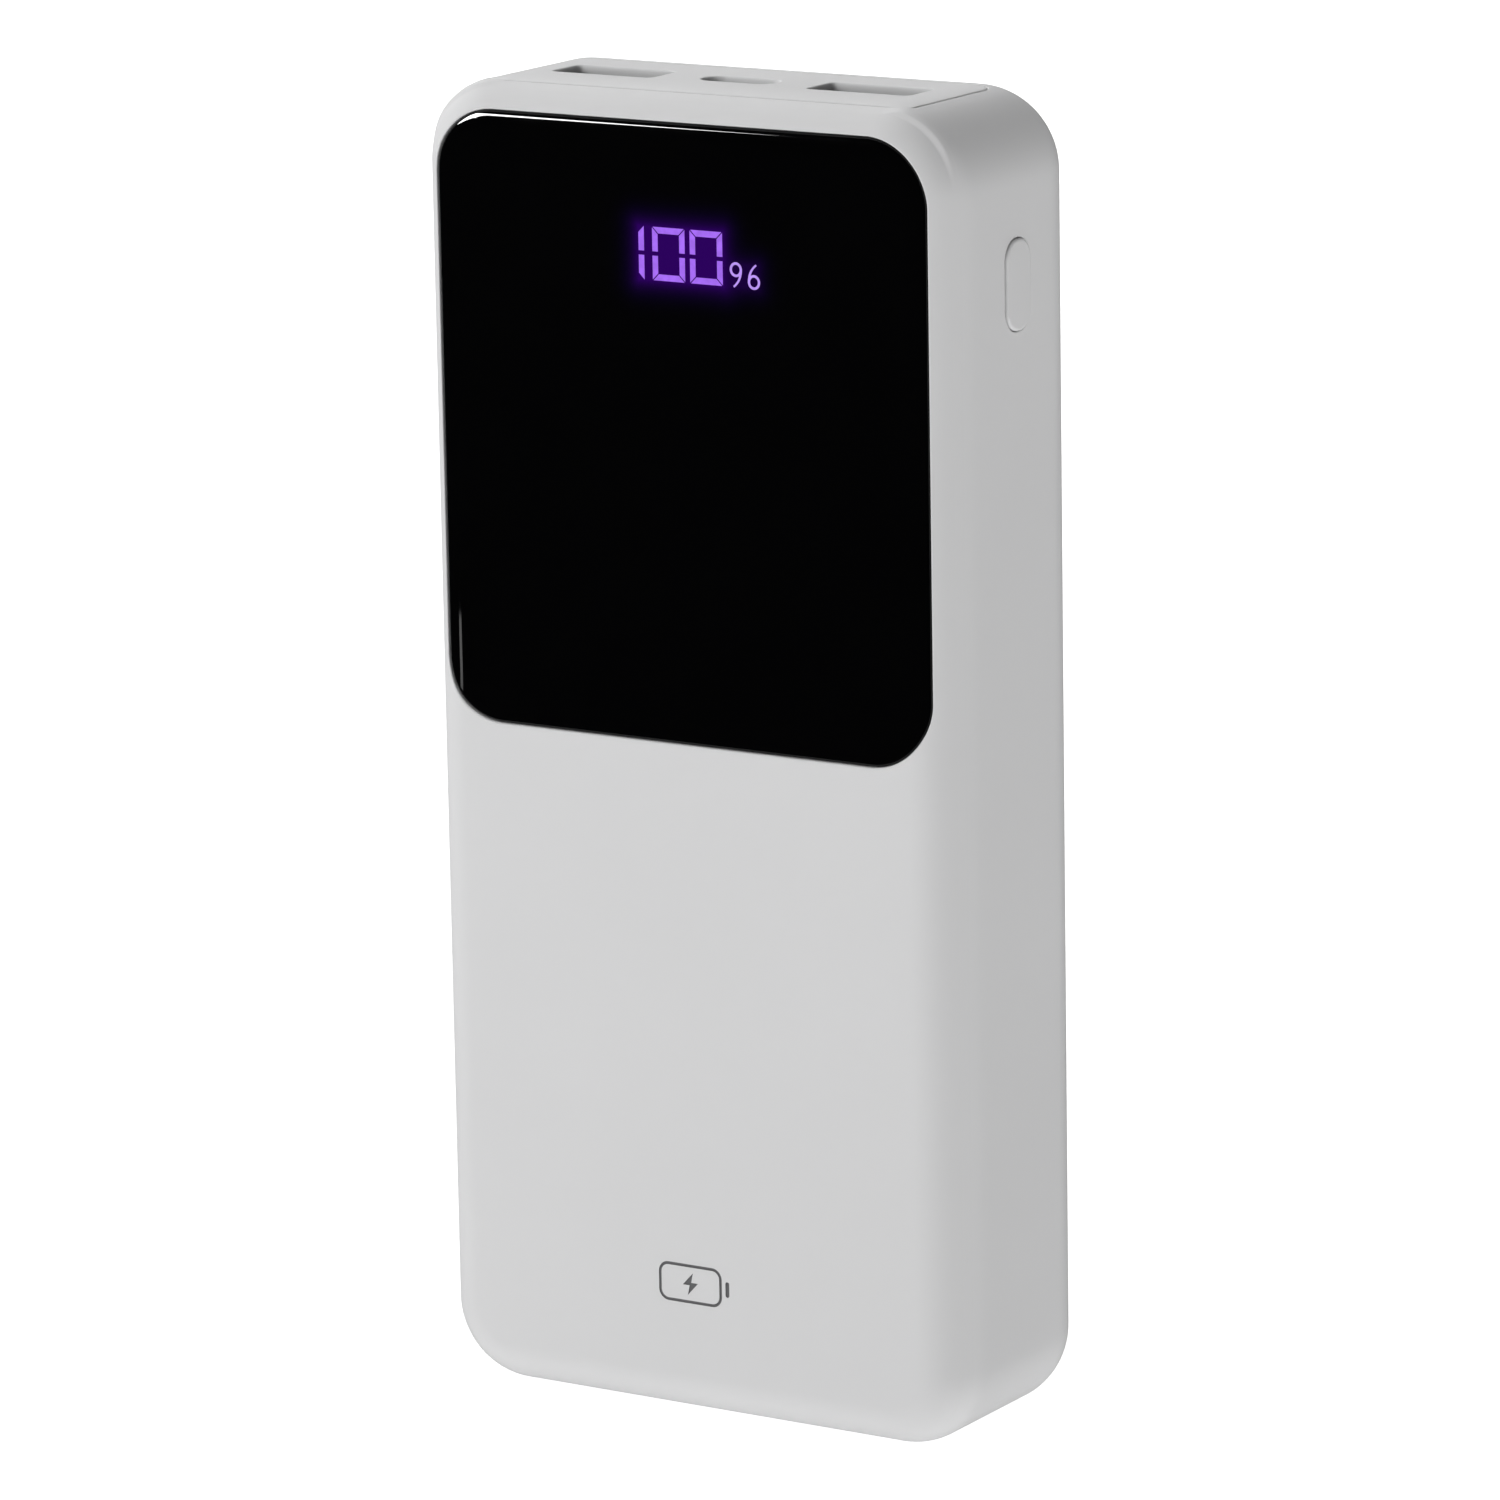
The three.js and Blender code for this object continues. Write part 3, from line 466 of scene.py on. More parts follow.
def side_depths(body, last, straight_steps, turn_steps):
    """Depths from the front fillet's split, along the side, to a last one in the rear fillet."""
    turns = fillet_turns(body.front_fillet, FRONT_SPLIT_TURN, 0, turn_steps)
    front = [body.front + below for _, below in turns]
    start = front[-1]
    end = body.rear - body.rear_fillet.depth
    straight = [start + (end - start) * step / straight_steps for step in range(1, straight_steps)]
    rear = [end + (last - end) * step / turn_steps for step in range(turn_steps + 1)]
    return front + straight + rear


panel_outline = Outline(
    PANEL_LOW.x, PANEL_HIGH.x, PANEL_LOW.z, PANEL_HIGH.z, PANEL_RADIUS, Steps(30, 32, 24)
)
window_low, window_high = span("display_block")
window_outline = Outline(
    window_low.x, window_high.x, window_low.z, window_high.z, WINDOW_RADIUS, Steps(8, 6, 3)
)
plate_outline = Outline(
    PLATE_LOW.x, PLATE_HIGH.x, PLATE_FRONT, PLATE_REAR, PLATE_RADIUS, Steps(30, 10, 8)
)
ledge_outline = Outline(
    PLATE_LOW.x + PLATE_LEDGE,
    PLATE_HIGH.x - PLATE_LEDGE,
    PLATE_FRONT + PLATE_LEDGE,
    PLATE_REAR - PLATE_LEDGE,
    PLATE_RADIUS / 2,
    Steps(30, 10, 8),
)
button_outline = Outline(
    -BUTTON_HALF_WIDTH,
    BUTTON_HALF_WIDTH,
    BUTTON_Z - BUTTON_HALF_HEIGHT,
    BUTTON_Z + BUTTON_HALF_HEIGHT,
    BUTTON_RADIUS,
    Steps(2, 10, 12),
)


def grown(outline, growth):
    """The same outline, larger all round."""
    larger = copy(outline)
    larger.radius = outline.radius + growth
    return larger


# ---- Pictogram engraved low on the front: a battery with a bolt ----

MARK_Z = 15.9
MARK_DEPTH = 0.1
MARK_STROKE = 0.34
MARK_DRAFT = 0.04
BOLT_DRAFT = 0.06
MARK_REACH = 0.5
battery_outline = Outline(-4.4, 3.6, MARK_Z - 2.1, MARK_Z + 2.1, 1.1, Steps(12, 6, 8))
terminal_outline = Outline(4.25, 4.75, MARK_Z - 0.9, MARK_Z + 0.9, 0.24, Steps(2, 4, 4))


class BoltOutline:
    """A lightning bolt, larger or smaller about its middle."""

    corners = [(0.35, 1.3), (-1.0, -0.15), (-0.1, -0.15), (-0.35, -1.3), (1.0, 0.15), (0.1, 0.15)]
    middle = Vector((-0.4, MARK_Z))
    reach = 1.3

    def at(self, growth=0.0):
        return [self.middle + Vector(corner) * (1 + growth / self.reach) for corner in self.corners]

    def distance(self, u, v):
        return (Vector((u, v)) - self.middle).length - self.reach


def engraved_mark(mesh):
    """Cuts the pictogram's grooves and returns the openings that the front leaves for them."""
    lift = partial(outer.lift, "front")
    edge = MARK_STROKE / 2
    foot = edge - MARK_DRAFT
    groove_profile = [(edge, 0), (foot, MARK_DEPTH), (-foot, MARK_DEPTH), (-edge, 0)]
    mesh.paint = 1
    groove = mesh.contour(lift, battery_outline, groove_profile)
    bolt = mesh.contour(lift, BoltOutline(), [(0, 0), (-BOLT_DRAFT, MARK_DEPTH)])
    mesh.close(bolt[-1], "front")
    terminal = mesh.contour(lift, terminal_outline, [(0, 0), (-MARK_DRAFT, MARK_DEPTH)])
    mesh.close(terminal[-1], "front")
    mesh.paint = 0
    mesh.fill([mesh.flat(groove[-1], "front"), mesh.flat(bolt[0], "front")])
    return [
        Opening("front", battery_outline, groove, MARK_REACH),
        Opening("front", terminal_outline, terminal, MARK_REACH),
    ]


# ---- Outer pieces ----


def smooth(value, low, high):
    """A soft climb from 0 to 1 as value goes from low to high."""
    share = min(max((value - low) / (high - low), 0), 1)
    return share * share * (3 - 2 * share)


def brow_height(point):
    """How far the soft step round the top corners stands out at a point of the housing."""
    beside = abs(point.x) - outer.outline.right
    above = point.z - outer.outline.high
    turn = math.degrees(math.atan2(beside, above))
    radius = outer.outline.radius - outer.inset_at(point.y)
    slack = 0.01
    off_surface = abs(math.hypot(beside, above) - radius) > slack
    if min(beside, above) < 0 or off_surface:
        return 0.0
    along = smooth(turn, 0, BROW_FULL) * (1 - smooth(turn, BROW_FADE, BROW_GONE))
    rise = smooth(point.y, BROW_Y, BROW_Y + BROW_WIDTH)
    fall = 1 - smooth(point.y, BROW_Y + BROW_WIDTH, BROW_END)
    return BROW_HEIGHT * along * rise * fall


def brow_depths(depths):
    """The same depths, with close ones across the brow's step."""
    across = [BROW_Y + BROW_WIDTH * step / BROW_STEPS for step in range(-1, BROW_STEPS + 2)]
    clear = 0.1
    kept = [y for y in depths if not across[0] - clear < y < across[-1] + clear]
    return sorted([*kept, *across, across[-1] + BROW_WIDTH])


def raise_brow(mesh):
    for point in mesh.points:
        height = brow_height(point)
        if height:
            core = Vector((math.copysign(outer.outline.right, point.x), point.y, outer.outline.high))
            point += (point - core).normalized() * height


def front_housing(materials):
    mesh = MeshMaker()
    recess_hole = grown(panel_outline, PIECE_GAP)
    button_hole = grown(button_outline, PIECE_GAP)
    recess_profile = [*rounding(RECESS_EDGE, RECESS_EDGE, 1), (0, RECESS_DEPTH)]
    recess = opening(mesh, "front", recess_hole, recess_profile)
    seat_profile = [*rounding(PLATE_EDGE, PLATE_EDGE, 1), (0, SEAT_DEPTH)]
    seat = opening(mesh, "top", grown(plate_outline, PIECE_GAP), seat_profile)
    ledge = mesh.ring(outer.lift("top", *uv, SEAT_DEPTH) for uv in ledge_outline.at())
    press = opening(mesh, "side", button_hole, rounding(BUTTON_HOLE_EDGE, BUTTON_HOLE_EDGE, 1))
    rim_y = SEAM_Y - SEAM_GAP / 2
    depths = brow_depths(side_depths(outer, rim_y - SEAM_EDGE, straight_steps=8, turn_steps=10))
    front_ring, rear_ring = fill_side(mesh, outer, depths, [seat, press])
    marks = engraved_mark(mesh)
    places = face_points(outer, FRONT_FILLET, FRONT_SPLIT_TURN, steps=10, grid=2.4)
    fill_face(mesh, outer, "front", front_ring, [recess, *marks], places)

    # The seam's rounded edge, then the rim back to the inside.
    rim = [rear_ring]
    for growth, below in rounding(SEAM_EDGE, SEAM_EDGE, 1)[2:]:
        rim.append(mesh.ring(outer.ring(rim_y - growth, below)))
    seat_inside = mesh.ring(cavity.lift("top", *uv) for uv in ledge_outline.at())
    press_inside = mesh.ring(cavity.lift("side", *uv) for uv in button_hole.at())
    window_inside = mesh.ring(cavity.lift("front", *uv) for uv in window_outline.at())
    window_outside = mesh.ring(outer.lift("front", *uv, RECESS_DEPTH) for uv in window_outline.at())
    side_holes = [
        Opening("top", ledge_outline, [seat_inside], OPENING_ROOM),
        Opening("side", button_hole, [press_inside], OPENING_ROOM),
    ]
    inner_depths = side_depths(cavity, rim_y, straight_steps=4, turn_steps=4)
    inner_front, inner_rear = fill_side(mesh, cavity, inner_depths, side_holes)
    window = Opening("front", window_outline, [window_inside], OPENING_ROOM)
    inner_places = face_points(cavity, CAVITY_FRONT_FILLET, FRONT_SPLIT_TURN, steps=4, grid=6)
    fill_face(mesh, cavity, "front", inner_front, [window], inner_places)
    window.rings = [window_outside]
    fill_face(
        mesh,
        outer,
        "front",
        recess.rings[-1],
        [window],
        places,
        RECESS_DEPTH,
        lambda u, v: recess_hole.distance(u, v) < -OPENING_ROOM,
    )
    mesh.bridge(*rim, inner_rear)
    mesh.bridge(seat.rings[-1], ledge, seat_inside)
    mesh.bridge(press.rings[-1], press_inside)
    mesh.bridge(window_outside, window_inside)
    raise_brow(mesh)
    return mesh.make("outer_housing", materials)


def rear_turn(body, y):
    """The turn, in degrees, at which a body's rear fillet reaches y."""
    return math.degrees(math.asin((y - body.rear + body.rear_fillet.depth) / body.rear_fillet.depth))


def rear_cover(materials):
    mesh = MeshMaker()
    start = SEAM_Y + SEAM_GAP / 2
    rim = []
    for growth, below in reversed(rounding(SEAM_EDGE, SEAM_EDGE, 1)[1:]):
        rim.append(mesh.ring(outer.ring(start + growth, below)))
    first_turn = rear_turn(outer, start + SEAM_EDGE)
    for _, below in fillet_turns(REAR_FILLET, first_turn, REAR_SPLIT_TURN, steps=14)[1:]:
        rim.append(mesh.ring(outer.ring(REAR_Y - below)))
    mesh.bridge(*rim)
    places = face_points(outer, REAR_FILLET, REAR_SPLIT_TURN, steps=2, grid=4)
    fill_face(mesh, outer, "rear", rim[-1], [], places)
    inner = []
    inner_fillet = cavity.rear_fillet
    inner_turn = rear_turn(cavity, start)
    for _, below in fillet_turns(inner_fillet, inner_turn, CAVITY_SPLIT_TURN, steps=5):
        inner.append(mesh.ring(cavity.ring(cavity.rear - below)))
    mesh.bridge(*inner)
    inner_places = face_points(cavity, inner_fillet, CAVITY_SPLIT_TURN, steps=1, grid=8)
    fill_face(mesh, cavity, "rear", inner[-1], [], inner_places)
    mesh.bridge(rim[0], inner[0])
    return mesh.make("back_cover", materials)


def front_normal(x, z):
    """The outward direction of the body's front face."""
    nearby = (-0.01, 0.01)
    left, right = (Vector(outer.lift("front", x + step, z)) for step in nearby)
    below, above = (Vector(outer.lift("front", x, z + step)) for step in nearby)
    return (right - left).cross(above - below).normalized()


def display_panel(materials):
    """A glossy sheet whose edge rolls over before it drops into its recess."""
    mesh = MeshMaker()
    back = PANEL_SINK + PANEL_THICKNESS
    profile = [*sunk(rounding(*PANEL_EDGE, -1, steps=10, support=0.3), PANEL_SINK), (0, back)]
    rings = mesh.contour(partial(outer.lift, "front"), panel_outline, profile)
    places = face_points(outer, FRONT_FILLET, FRONT_SPLIT_TURN, steps=20, grid=2)
    clear = 0.2
    limit = profile[0][0] - clear
    within = [(x, z) for x, z in places if panel_outline.distance(x, z) < limit]
    for ring, depth in ((rings[0], PANEL_SINK), (rings[-1], back)):
        fill_face(mesh, outer, "front", ring, [], within, depth)
    piece = mesh.make("gloss_panel", materials)
    normals = []
    for vertex in piece.data.vertices:
        x, y, z = vertex.co / MM
        on_front = abs(outer.lift("front", x, z, PANEL_SINK)[1] - y) < 0.001
        normals.append(front_normal(x, z) if on_front else (0, 0, 0))
    piece.data.normals_split_custom_set_from_vertices(normals)
    return piece


# ---- Ports ----

PORT_Y = -1
USB_A_CENTRES = [
    sum(span(f"usb_a_{side}_shell"), Vector((0, 0, 0))).x / 2 for side in ("left", "right")
]
USB_A_MOUTH = (12.7, 5.3)
USB_A_CORNER = 0.5
USB_C_MOUTH = (9.2, 3.4)
USB_C_CORNER = USB_C_MOUTH[1] / 2 - 0.01
MOUTH_EDGE = Fillet(0.4, 0.85)
PLATE_GRID = 2
PLATE_CLEAR = 0.5


def mouth_outline(x, size, radius, steps):
    width, depth = size
    return Outline(
        x - width / 2, x + width / 2, PORT_Y - depth / 2, PORT_Y + depth / 2, radius, steps
    )


mouths = [mouth_outline(x, USB_A_MOUTH, USB_A_CORNER, Steps(12, 6, 5)) for x in USB_A_CENTRES]
mouths.append(mouth_outline(0, USB_C_MOUTH, USB_C_CORNER, Steps(10, 2, 14)))


def port_plate(materials):
    mesh = MeshMaker()
    lift = partial(outer.lift, "top")
    edge_profile = [*rounding(PLATE_EDGE, PLATE_EDGE, -1), (0, PLATE_THICKNESS)]
    edge = mesh.contour(lift, plate_outline, edge_profile)
    mouth_profile = [*rounding(*MOUTH_EDGE, 1, steps=6), (0, PLATE_THICKNESS)]
    holes = [opening(mesh, "top", mouth, mouth_profile) for mouth in mouths]
    columns = range(round(PLATE_LOW.x) + 1, round(PLATE_HIGH.x), PLATE_GRID)
    rows = range(math.ceil(PLATE_FRONT), math.ceil(PLATE_REAR), PLATE_GRID)
    grid = [(x, y) for x in columns for y in rows if plate_outline.distance(x, y) < -PLATE_CLEAR]
    for level, depth in ((0, 0), (-1, PLATE_THICKNESS)):
        loose = []
        for x, y in grid:
            point = lift(x, y, depth)
            if not any(hole.covers(point) for hole in holes):
                loose.append((x, y, mesh.add(point)))
        borders = [mesh.flat(rings[level], "top") for rings in [edge, *(hole.rings for hole in holes)]]
        mesh.fill(borders, loose)
    return mesh.make("port_surround", materials)


def power_button(materials):
    """A crowned button on a flange that the housing's wall holds back."""
    mesh = MeshMaker()
    lift = partial(outer.lift, "side")
    proud = BUTTON_HIGH.x - HOUSING_HIGH.x
    flange_top = WALL + BUTTON_FLANGE_GAP
    flange_foot = flange_top + BUTTON_FLANGE_THICKNESS
    nub_depth = HOUSING_HIGH.x - BUTTON_LOW.x
    edge_drop, crown_drop = BUTTON_CROWN_DROPS
    profile = [
        *sunk(rounding(*BUTTON_EDGE, -1, steps=6), edge_drop - proud),
        (0, flange_top),
        (BUTTON_FLANGE, flange_top),
        (BUTTON_FLANGE, flange_foot),
        (-BUTTON_NUB_INSET, flange_foot),
        (-BUTTON_NUB_INSET, nub_depth),
    ]
    crown_profile = [(-BUTTON_NUB_INSET, crown_drop - proud), (-BUTTON_CROWN_INSET, -proud)]
    rings = mesh.contour(lift, button_outline, profile)
    inner = mesh.contour(lift, button_outline, crown_profile)
    mesh.bridge(rings[0], inner[0])
    mesh.close(inner[-1], "side")
    mesh.close(rings[-1], "side")
    return mesh.make("side_button", materials)


# ---- Foam ----

PAD_CORNER = 1.6
PAD_BULGE = 0.5


def foam_pad(node, face, materials):
    """A cut pad, pressed flat on both faces, with bulging edges."""
    mesh = MeshMaker()
    low, high = span(node)
    across, along = PLANES[face]
    through = 3 - across - along
    thickness = high[through] - low[through]
    outline = Outline(low[across], high[across], low[along], high[along], PAD_CORNER)
    edge = rounding(PAD_BULGE, thickness / 2, -1, steps=6, support=0.3)
    profile = [*edge, *((growth, thickness - depth) for growth, depth in reversed(edge[:-1]))]

    def lift(u, v, depth):
        point = Vector((u, v, low[through] + depth))
        return (u, point.z, v) if face == "front" else point

    rings = mesh.contour(lift, outline, profile)
    mesh.close(rings[0], face)
    mesh.close(rings[-1], face)
    return mesh.make(f"{node}_soft", materials)


# ---- Lit gauge ----

GAUGE_PROUD = 0.02
GAUGE_ROOT = 0.15
DIGIT_LOW = 129.6
DIGIT_HIGH = 135.5
DIGIT_STROKE = 0.7
DIGIT_MITRE = 0.09
DIGIT_WAIST = (DIGIT_LOW + DIGIT_HIGH) / 2
WAIST_GAP = 0.24
ONE_LEFT = -4.65
ZERO_LEFTS = (-2.87, 1.97)
ZERO_WIDTH = 4.18

# Half of the percent sign, from its middle: a ring, and a tail from the ring's side past a bend.
PERCENT_MIDDLE = Vector((9.0, 130.9))
PERCENT_STROKE = 0.28
RING_MIDDLE = Vector((-1.15, 0.62))
RING_SIZE = Vector((0.64, 0.68))
RING_STEPS = 28
TAIL_STOPS = [RING_MIDDLE + Vector(stop) for stop in ((0.64, 0.1), (0.69, -1.15), (-0.3, -1.9))]
TAIL_STEPS = 8
TAIL_TAPER = 0.25

panel_surface = outer.lift("front", 0, DIGIT_LOW, PANEL_SINK)[1]
gauge_front = panel_surface - GAUGE_PROUD
gauge_back = panel_surface + GAUGE_ROOT


def lit_plate(mesh, corners):
    """A flat lit shape that stands a hair proud of the panel."""
    front = mesh.ring((u, gauge_front, v) for u, v in corners)
    back = mesh.ring((u, gauge_back, v) for u, v in corners)
    mesh.bridge(front, back)
    mesh.close(front, "front")
    mesh.close(back, "front")


def lit_digits(materials):
    """The segments above the digits' waist, and the same mirrored below it."""
    mesh = MeshMaker()
    stroke, mitre = DIGIT_STROKE, DIGIT_MITRE
    upper = DIGIT_WAIST + WAIST_GAP
    one = [
        (ONE_LEFT, DIGIT_HIGH - stroke),
        (ONE_LEFT + stroke, DIGIT_HIGH),
        (ONE_LEFT + stroke, upper),
        (ONE_LEFT, upper),
    ]
    shapes = [one]
    for left in ZERO_LEFTS:
        right = left + ZERO_WIDTH
        shapes.append(
            [
                (left + mitre, DIGIT_HIGH),
                (right - mitre, DIGIT_HIGH),
                (right - stroke - mitre, DIGIT_HIGH - stroke),
                (left + stroke + mitre, DIGIT_HIGH - stroke),
            ]
        )
        for far, near in ((left, left + stroke), (right, right - stroke)):
            shapes.append(
                [
                    (far, DIGIT_HIGH - mitre),
                    (near, DIGIT_HIGH - stroke - mitre),
                    (near, upper),
                    (far, upper),
                ]
            )
    for shape in shapes:
        lit_plate(mesh, shape)
        lit_plate(mesh, [(u, 2 * DIGIT_WAIST - v) for u, v in shape])
    return mesh.make("lit_digits", materials)


def percent_ring(growth):
    """The ring's points, moved outwards by growth."""
    turns = [2 * math.pi * step / RING_STEPS for step in range(RING_STEPS)]
    width, height = RING_SIZE.x + growth, RING_SIZE.y + growth
    return [RING_MIDDLE + Vector((width * math.cos(t), height * math.sin(t))) for t in turns]


def percent_tail():
    """The outline of the tail, which narrows towards its end."""
    start, bend, end = TAIL_STOPS
    shares = [step / TAIL_STEPS for step in range(TAIL_STEPS + 1)]
    curve = [start.lerp(bend, share).lerp(bend.lerp(end, share), share) for share in shares]
    lefts = []
    rights = []
    for step, point in enumerate(curve):
        ahead = curve[min(step + 1, TAIL_STEPS)] - curve[max(step - 1, 0)]
        half = PERCENT_STROKE / 2 * (1 - TAIL_TAPER * shares[step])
        across = Vector((-ahead.y, ahead.x)).normalized() * half
        lefts.append(point + across)
        rights.append(point - across)
    return [*lefts, *reversed(rights)]


def lit_percent(materials):
    """A percent sign: a small ring with a curved tail, and the same turned half round."""
    mesh = MeshMaker()
    rim, hole = percent_ring(PERCENT_STROKE / 2), percent_ring(-PERCENT_STROKE / 2)
    loops = ((rim, gauge_front), (rim, gauge_back), (hole, gauge_back), (hole, gauge_front))
    for sign in (1, -1):
        rings = []
        for points, y in loops:
            places = [PERCENT_MIDDLE + sign * point for point in points]
            rings.append(mesh.ring((place.x, y, place.y) for place in places))
        mesh.bridge(rings[-1], *rings)
        corners = [PERCENT_MIDDLE + sign * point for point in percent_tail()]
        lit_plate(mesh, [(corner.x, corner.y) for corner in corners])
    return mesh.make("lit_percent", materials)


# ---- Materials ----

# The middle range of a noise, which its features mostly fall in.
NOISE_LOW = 0.3
NOISE_HIGH = 0.7

GLOW_REACH = 0.7
GLOW_COLOUR = (0.024, 0.0, 0.105)
PERCENT_HALF_WIDTH = 1.6
PERCENT_HALF_HEIGHT = 1.2
PERCENT_GLOW = 0.35


class Nodes:
    """A short way to build one procedural material."""

    def __init__(self, name):
        self.material = bpy.data.materials.new(name)
        self.material.use_nodes = True
        self.tree = self.material.node_tree
        self.shader = self.tree.nodes["Principled BSDF"]
        self.coordinates = self.tree.nodes.new("ShaderNodeTexCoord").outputs["Object"]

    def set(self, **values):
        for name, value in values.items():
            self.shader.inputs[name.replace("_", " ")].default_value = value
        return self

    def link(self, source, target):
        self.tree.links.new(source, target)

    def feed(self, name, source):
        """Links a source to the shader's input of that name."""
        self.link(source, self.shader.inputs[name])

    def noise(self, size_mm, detail=3.0, stretch=(1, 1, 1)):
        """Noise whose features are about size_mm across."""
        mapping = self.tree.nodes.new("ShaderNodeMapping")
        mapping.inputs["Scale"].default_value = stretch
        noise = self.tree.nodes.new("ShaderNodeTexNoise")
        noise.inputs["Scale"].default_value = 1 / (size_mm * MM)
        noise.inputs["Detail"].default_value = detail
        self.link(self.coordinates, mapping.inputs["Vector"])
        self.link(mapping.outputs["Vector"], noise.inputs["Vector"])
        return noise.outputs["Fac"]

    def ramp(self, value, first, second, low=NOISE_LOW, high=NOISE_HIGH):
        """A colour that goes from first to second as value goes from low to high."""
        ramp = self.tree.nodes.new("ShaderNodeValToRGB")
        ramp.color_ramp.elements[0].position = low
        ramp.color_ramp.elements[1].position = high
        ramp.color_ramp.elements[0].color = (*first, 1)
        ramp.color_ramp.elements[1].color = (*second, 1)
        self.link(value, ramp.inputs["Fac"])
        return ramp.outputs["Color"]

    def span(self, value, low, high):
        """Value's middle range, stretched to run from low to high."""
        place = self.tree.nodes.new("ShaderNodeMapRange")
        place.inputs["From Min"].default_value = NOISE_LOW
        place.inputs["From Max"].default_value = NOISE_HIGH
        place.inputs["To Min"].default_value = low
        place.inputs["To Max"].default_value = high
        self.link(value, place.inputs["Value"])
        return place.outputs["Result"]

    def math(self, operation, first, second=0.0):
        node = self.tree.nodes.new("ShaderNodeMath")
        node.operation = operation
        for socket, value in zip(node.inputs, (first, second)):
            if isinstance(value, (int, float)):
                socket.default_value = value
            else:
                self.link(value, socket)
        return node.outputs["Value"]

    def bump(self, height, distance_mm):
        bump = self.tree.nodes.new("ShaderNodeBump")
        bump.inputs["Distance"].default_value = distance_mm * MM
        self.link(height, bump.inputs["Height"])
        self.feed("Normal", bump.outputs["Normal"])

    def mottle(self, colour, share, size_mm, roughness, grain_mm, grain_depth_mm):
        """Slightly uneven colour and gloss, with a fine moulded grain."""
        broad = self.noise(size_mm)
        darker = [channel * (1 - share) for channel in colour]
        self.feed("Base Color", self.ramp(broad, darker, colour))
        fine = self.noise(grain_mm)
        gloss = self.math("ADD", self.span(broad, -0.02, 0.02), self.span(fine, *roughness))
        self.feed("Roughness", gloss)
        self.bump(fine, grain_depth_mm)
        return self


def white_plastic():
    nodes = Nodes("satin_white")
    nodes.mottle((0.72, 0.72, 0.725), 0.015, 22, (0.36, 0.44), 0.22, 0.0016)
    return nodes.set(IOR=1.5).material


def engraving_grey():
    nodes = Nodes("engraving_grey")
    return nodes.mottle((0.16, 0.16, 0.165), 0.1, 1, (0.5, 0.6), 0.2, 0.001).material


def black_gloss():
    """Polished black with the gauge's violet glow round the digits."""
    nodes = Nodes("black_gloss")
    nodes.mottle((0.0012, 0.0012, 0.0014), 0.2, 14, (0.03, 0.06), 3.0, 0.0003)
    separate = nodes.tree.nodes.new("ShaderNodeSeparateXYZ")
    nodes.link(nodes.coordinates, separate.inputs["Vector"])

    def beyond(axis, middle, half):
        """How far a point lies past a stretch of one axis."""
        away = nodes.math("ABSOLUTE", nodes.math("SUBTRACT", separate.outputs[axis], middle * MM))
        return nodes.math("MAXIMUM", nodes.math("SUBTRACT", away, half * MM), 0.0)

    def glow(left, right, middle, half_height, share):
        """Light round a rectangle, which fades with the distance from it."""
        past_x = beyond("X", (left + right) / 2, (right - left) / 2)
        past_z = beyond("Z", middle, half_height)
        square_x = nodes.math("MULTIPLY", past_x, past_x)
        square_z = nodes.math("MULTIPLY", past_z, past_z)
        away = nodes.math("SQRT", nodes.math("ADD", square_x, square_z))
        fading = nodes.math("POWER", math.e, nodes.math("DIVIDE", away, -GLOW_REACH * MM))
        return nodes.math("MULTIPLY", fading, share)

    digits_right = ZERO_LEFTS[-1] + ZERO_WIDTH
    digits = glow(ONE_LEFT, digits_right, DIGIT_WAIST, DIGIT_HIGH - DIGIT_WAIST, 1.0)
    percent = glow(
        PERCENT_MIDDLE.x - PERCENT_HALF_WIDTH,
        PERCENT_MIDDLE.x + PERCENT_HALF_WIDTH,
        PERCENT_MIDDLE.y,
        PERCENT_HALF_HEIGHT,
        PERCENT_GLOW,
    )
    both = nodes.math("ADD", digits, percent)
    nodes.feed("Emission Color", nodes.ramp(both, (0, 0, 0), GLOW_COLOUR, 0.0, 1.0))
    return nodes.set(Emission_Strength=1.0, IOR=1.45, Specular_IOR_Level=0.5).material


def violet_light(name, colour):
    nodes = Nodes(name)
    uneven = nodes.noise(0.9, 2)
    dimmer = [channel * 0.82 for channel in colour]
    nodes.feed("Emission Color", nodes.ramp(uneven, dimmer, colour, 0.35, 0.65))
    nodes.set(Base_Color=(0.02, 0.01, 0.04, 1), Emission_Strength=1.0, Roughness=0.3)
    return nodes.material


def black_plastic():
    nodes = Nodes("moulded_black")
    return nodes.mottle((0.022, 0.022, 0.024), 0.2, 3, (0.42, 0.55), 0.15, 0.002).material


def tape_black():
    nodes = Nodes("tape_black")
    return nodes.mottle((0.014, 0.014, 0.014), 0.3, 2, (0.7, 0.85), 0.3, 0.01).material


def metal(name, colour, roughness, grain_mm, stretch):
    """Worked metal, with its grain drawn out along one axis."""
    nodes = Nodes(name)
    grain = nodes.noise(grain_mm, 4, stretch)
    darker = [channel * 0.86 for channel in colour]
    nodes.feed("Base Color", nodes.ramp(grain, darker, colour))
    nodes.feed("Roughness", nodes.span(grain, *roughness))
    nodes.bump(grain, 0.003)
    return nodes.set(Metallic=1.0).material


def steel():
    return metal("plated_steel", (0.58, 0.58, 0.59), (0.24, 0.36), 0.35, (1, 1, 0.15))


def nickel():
    return metal("soft_nickel", (0.62, 0.57, 0.46), (0.28, 0.4), 0.3, (0.2, 1, 1))


def can_aluminium():
    return metal("can_aluminium", (0.72, 0.72, 0.73), (0.2, 0.32), 0.4, (1, 0.2, 1))


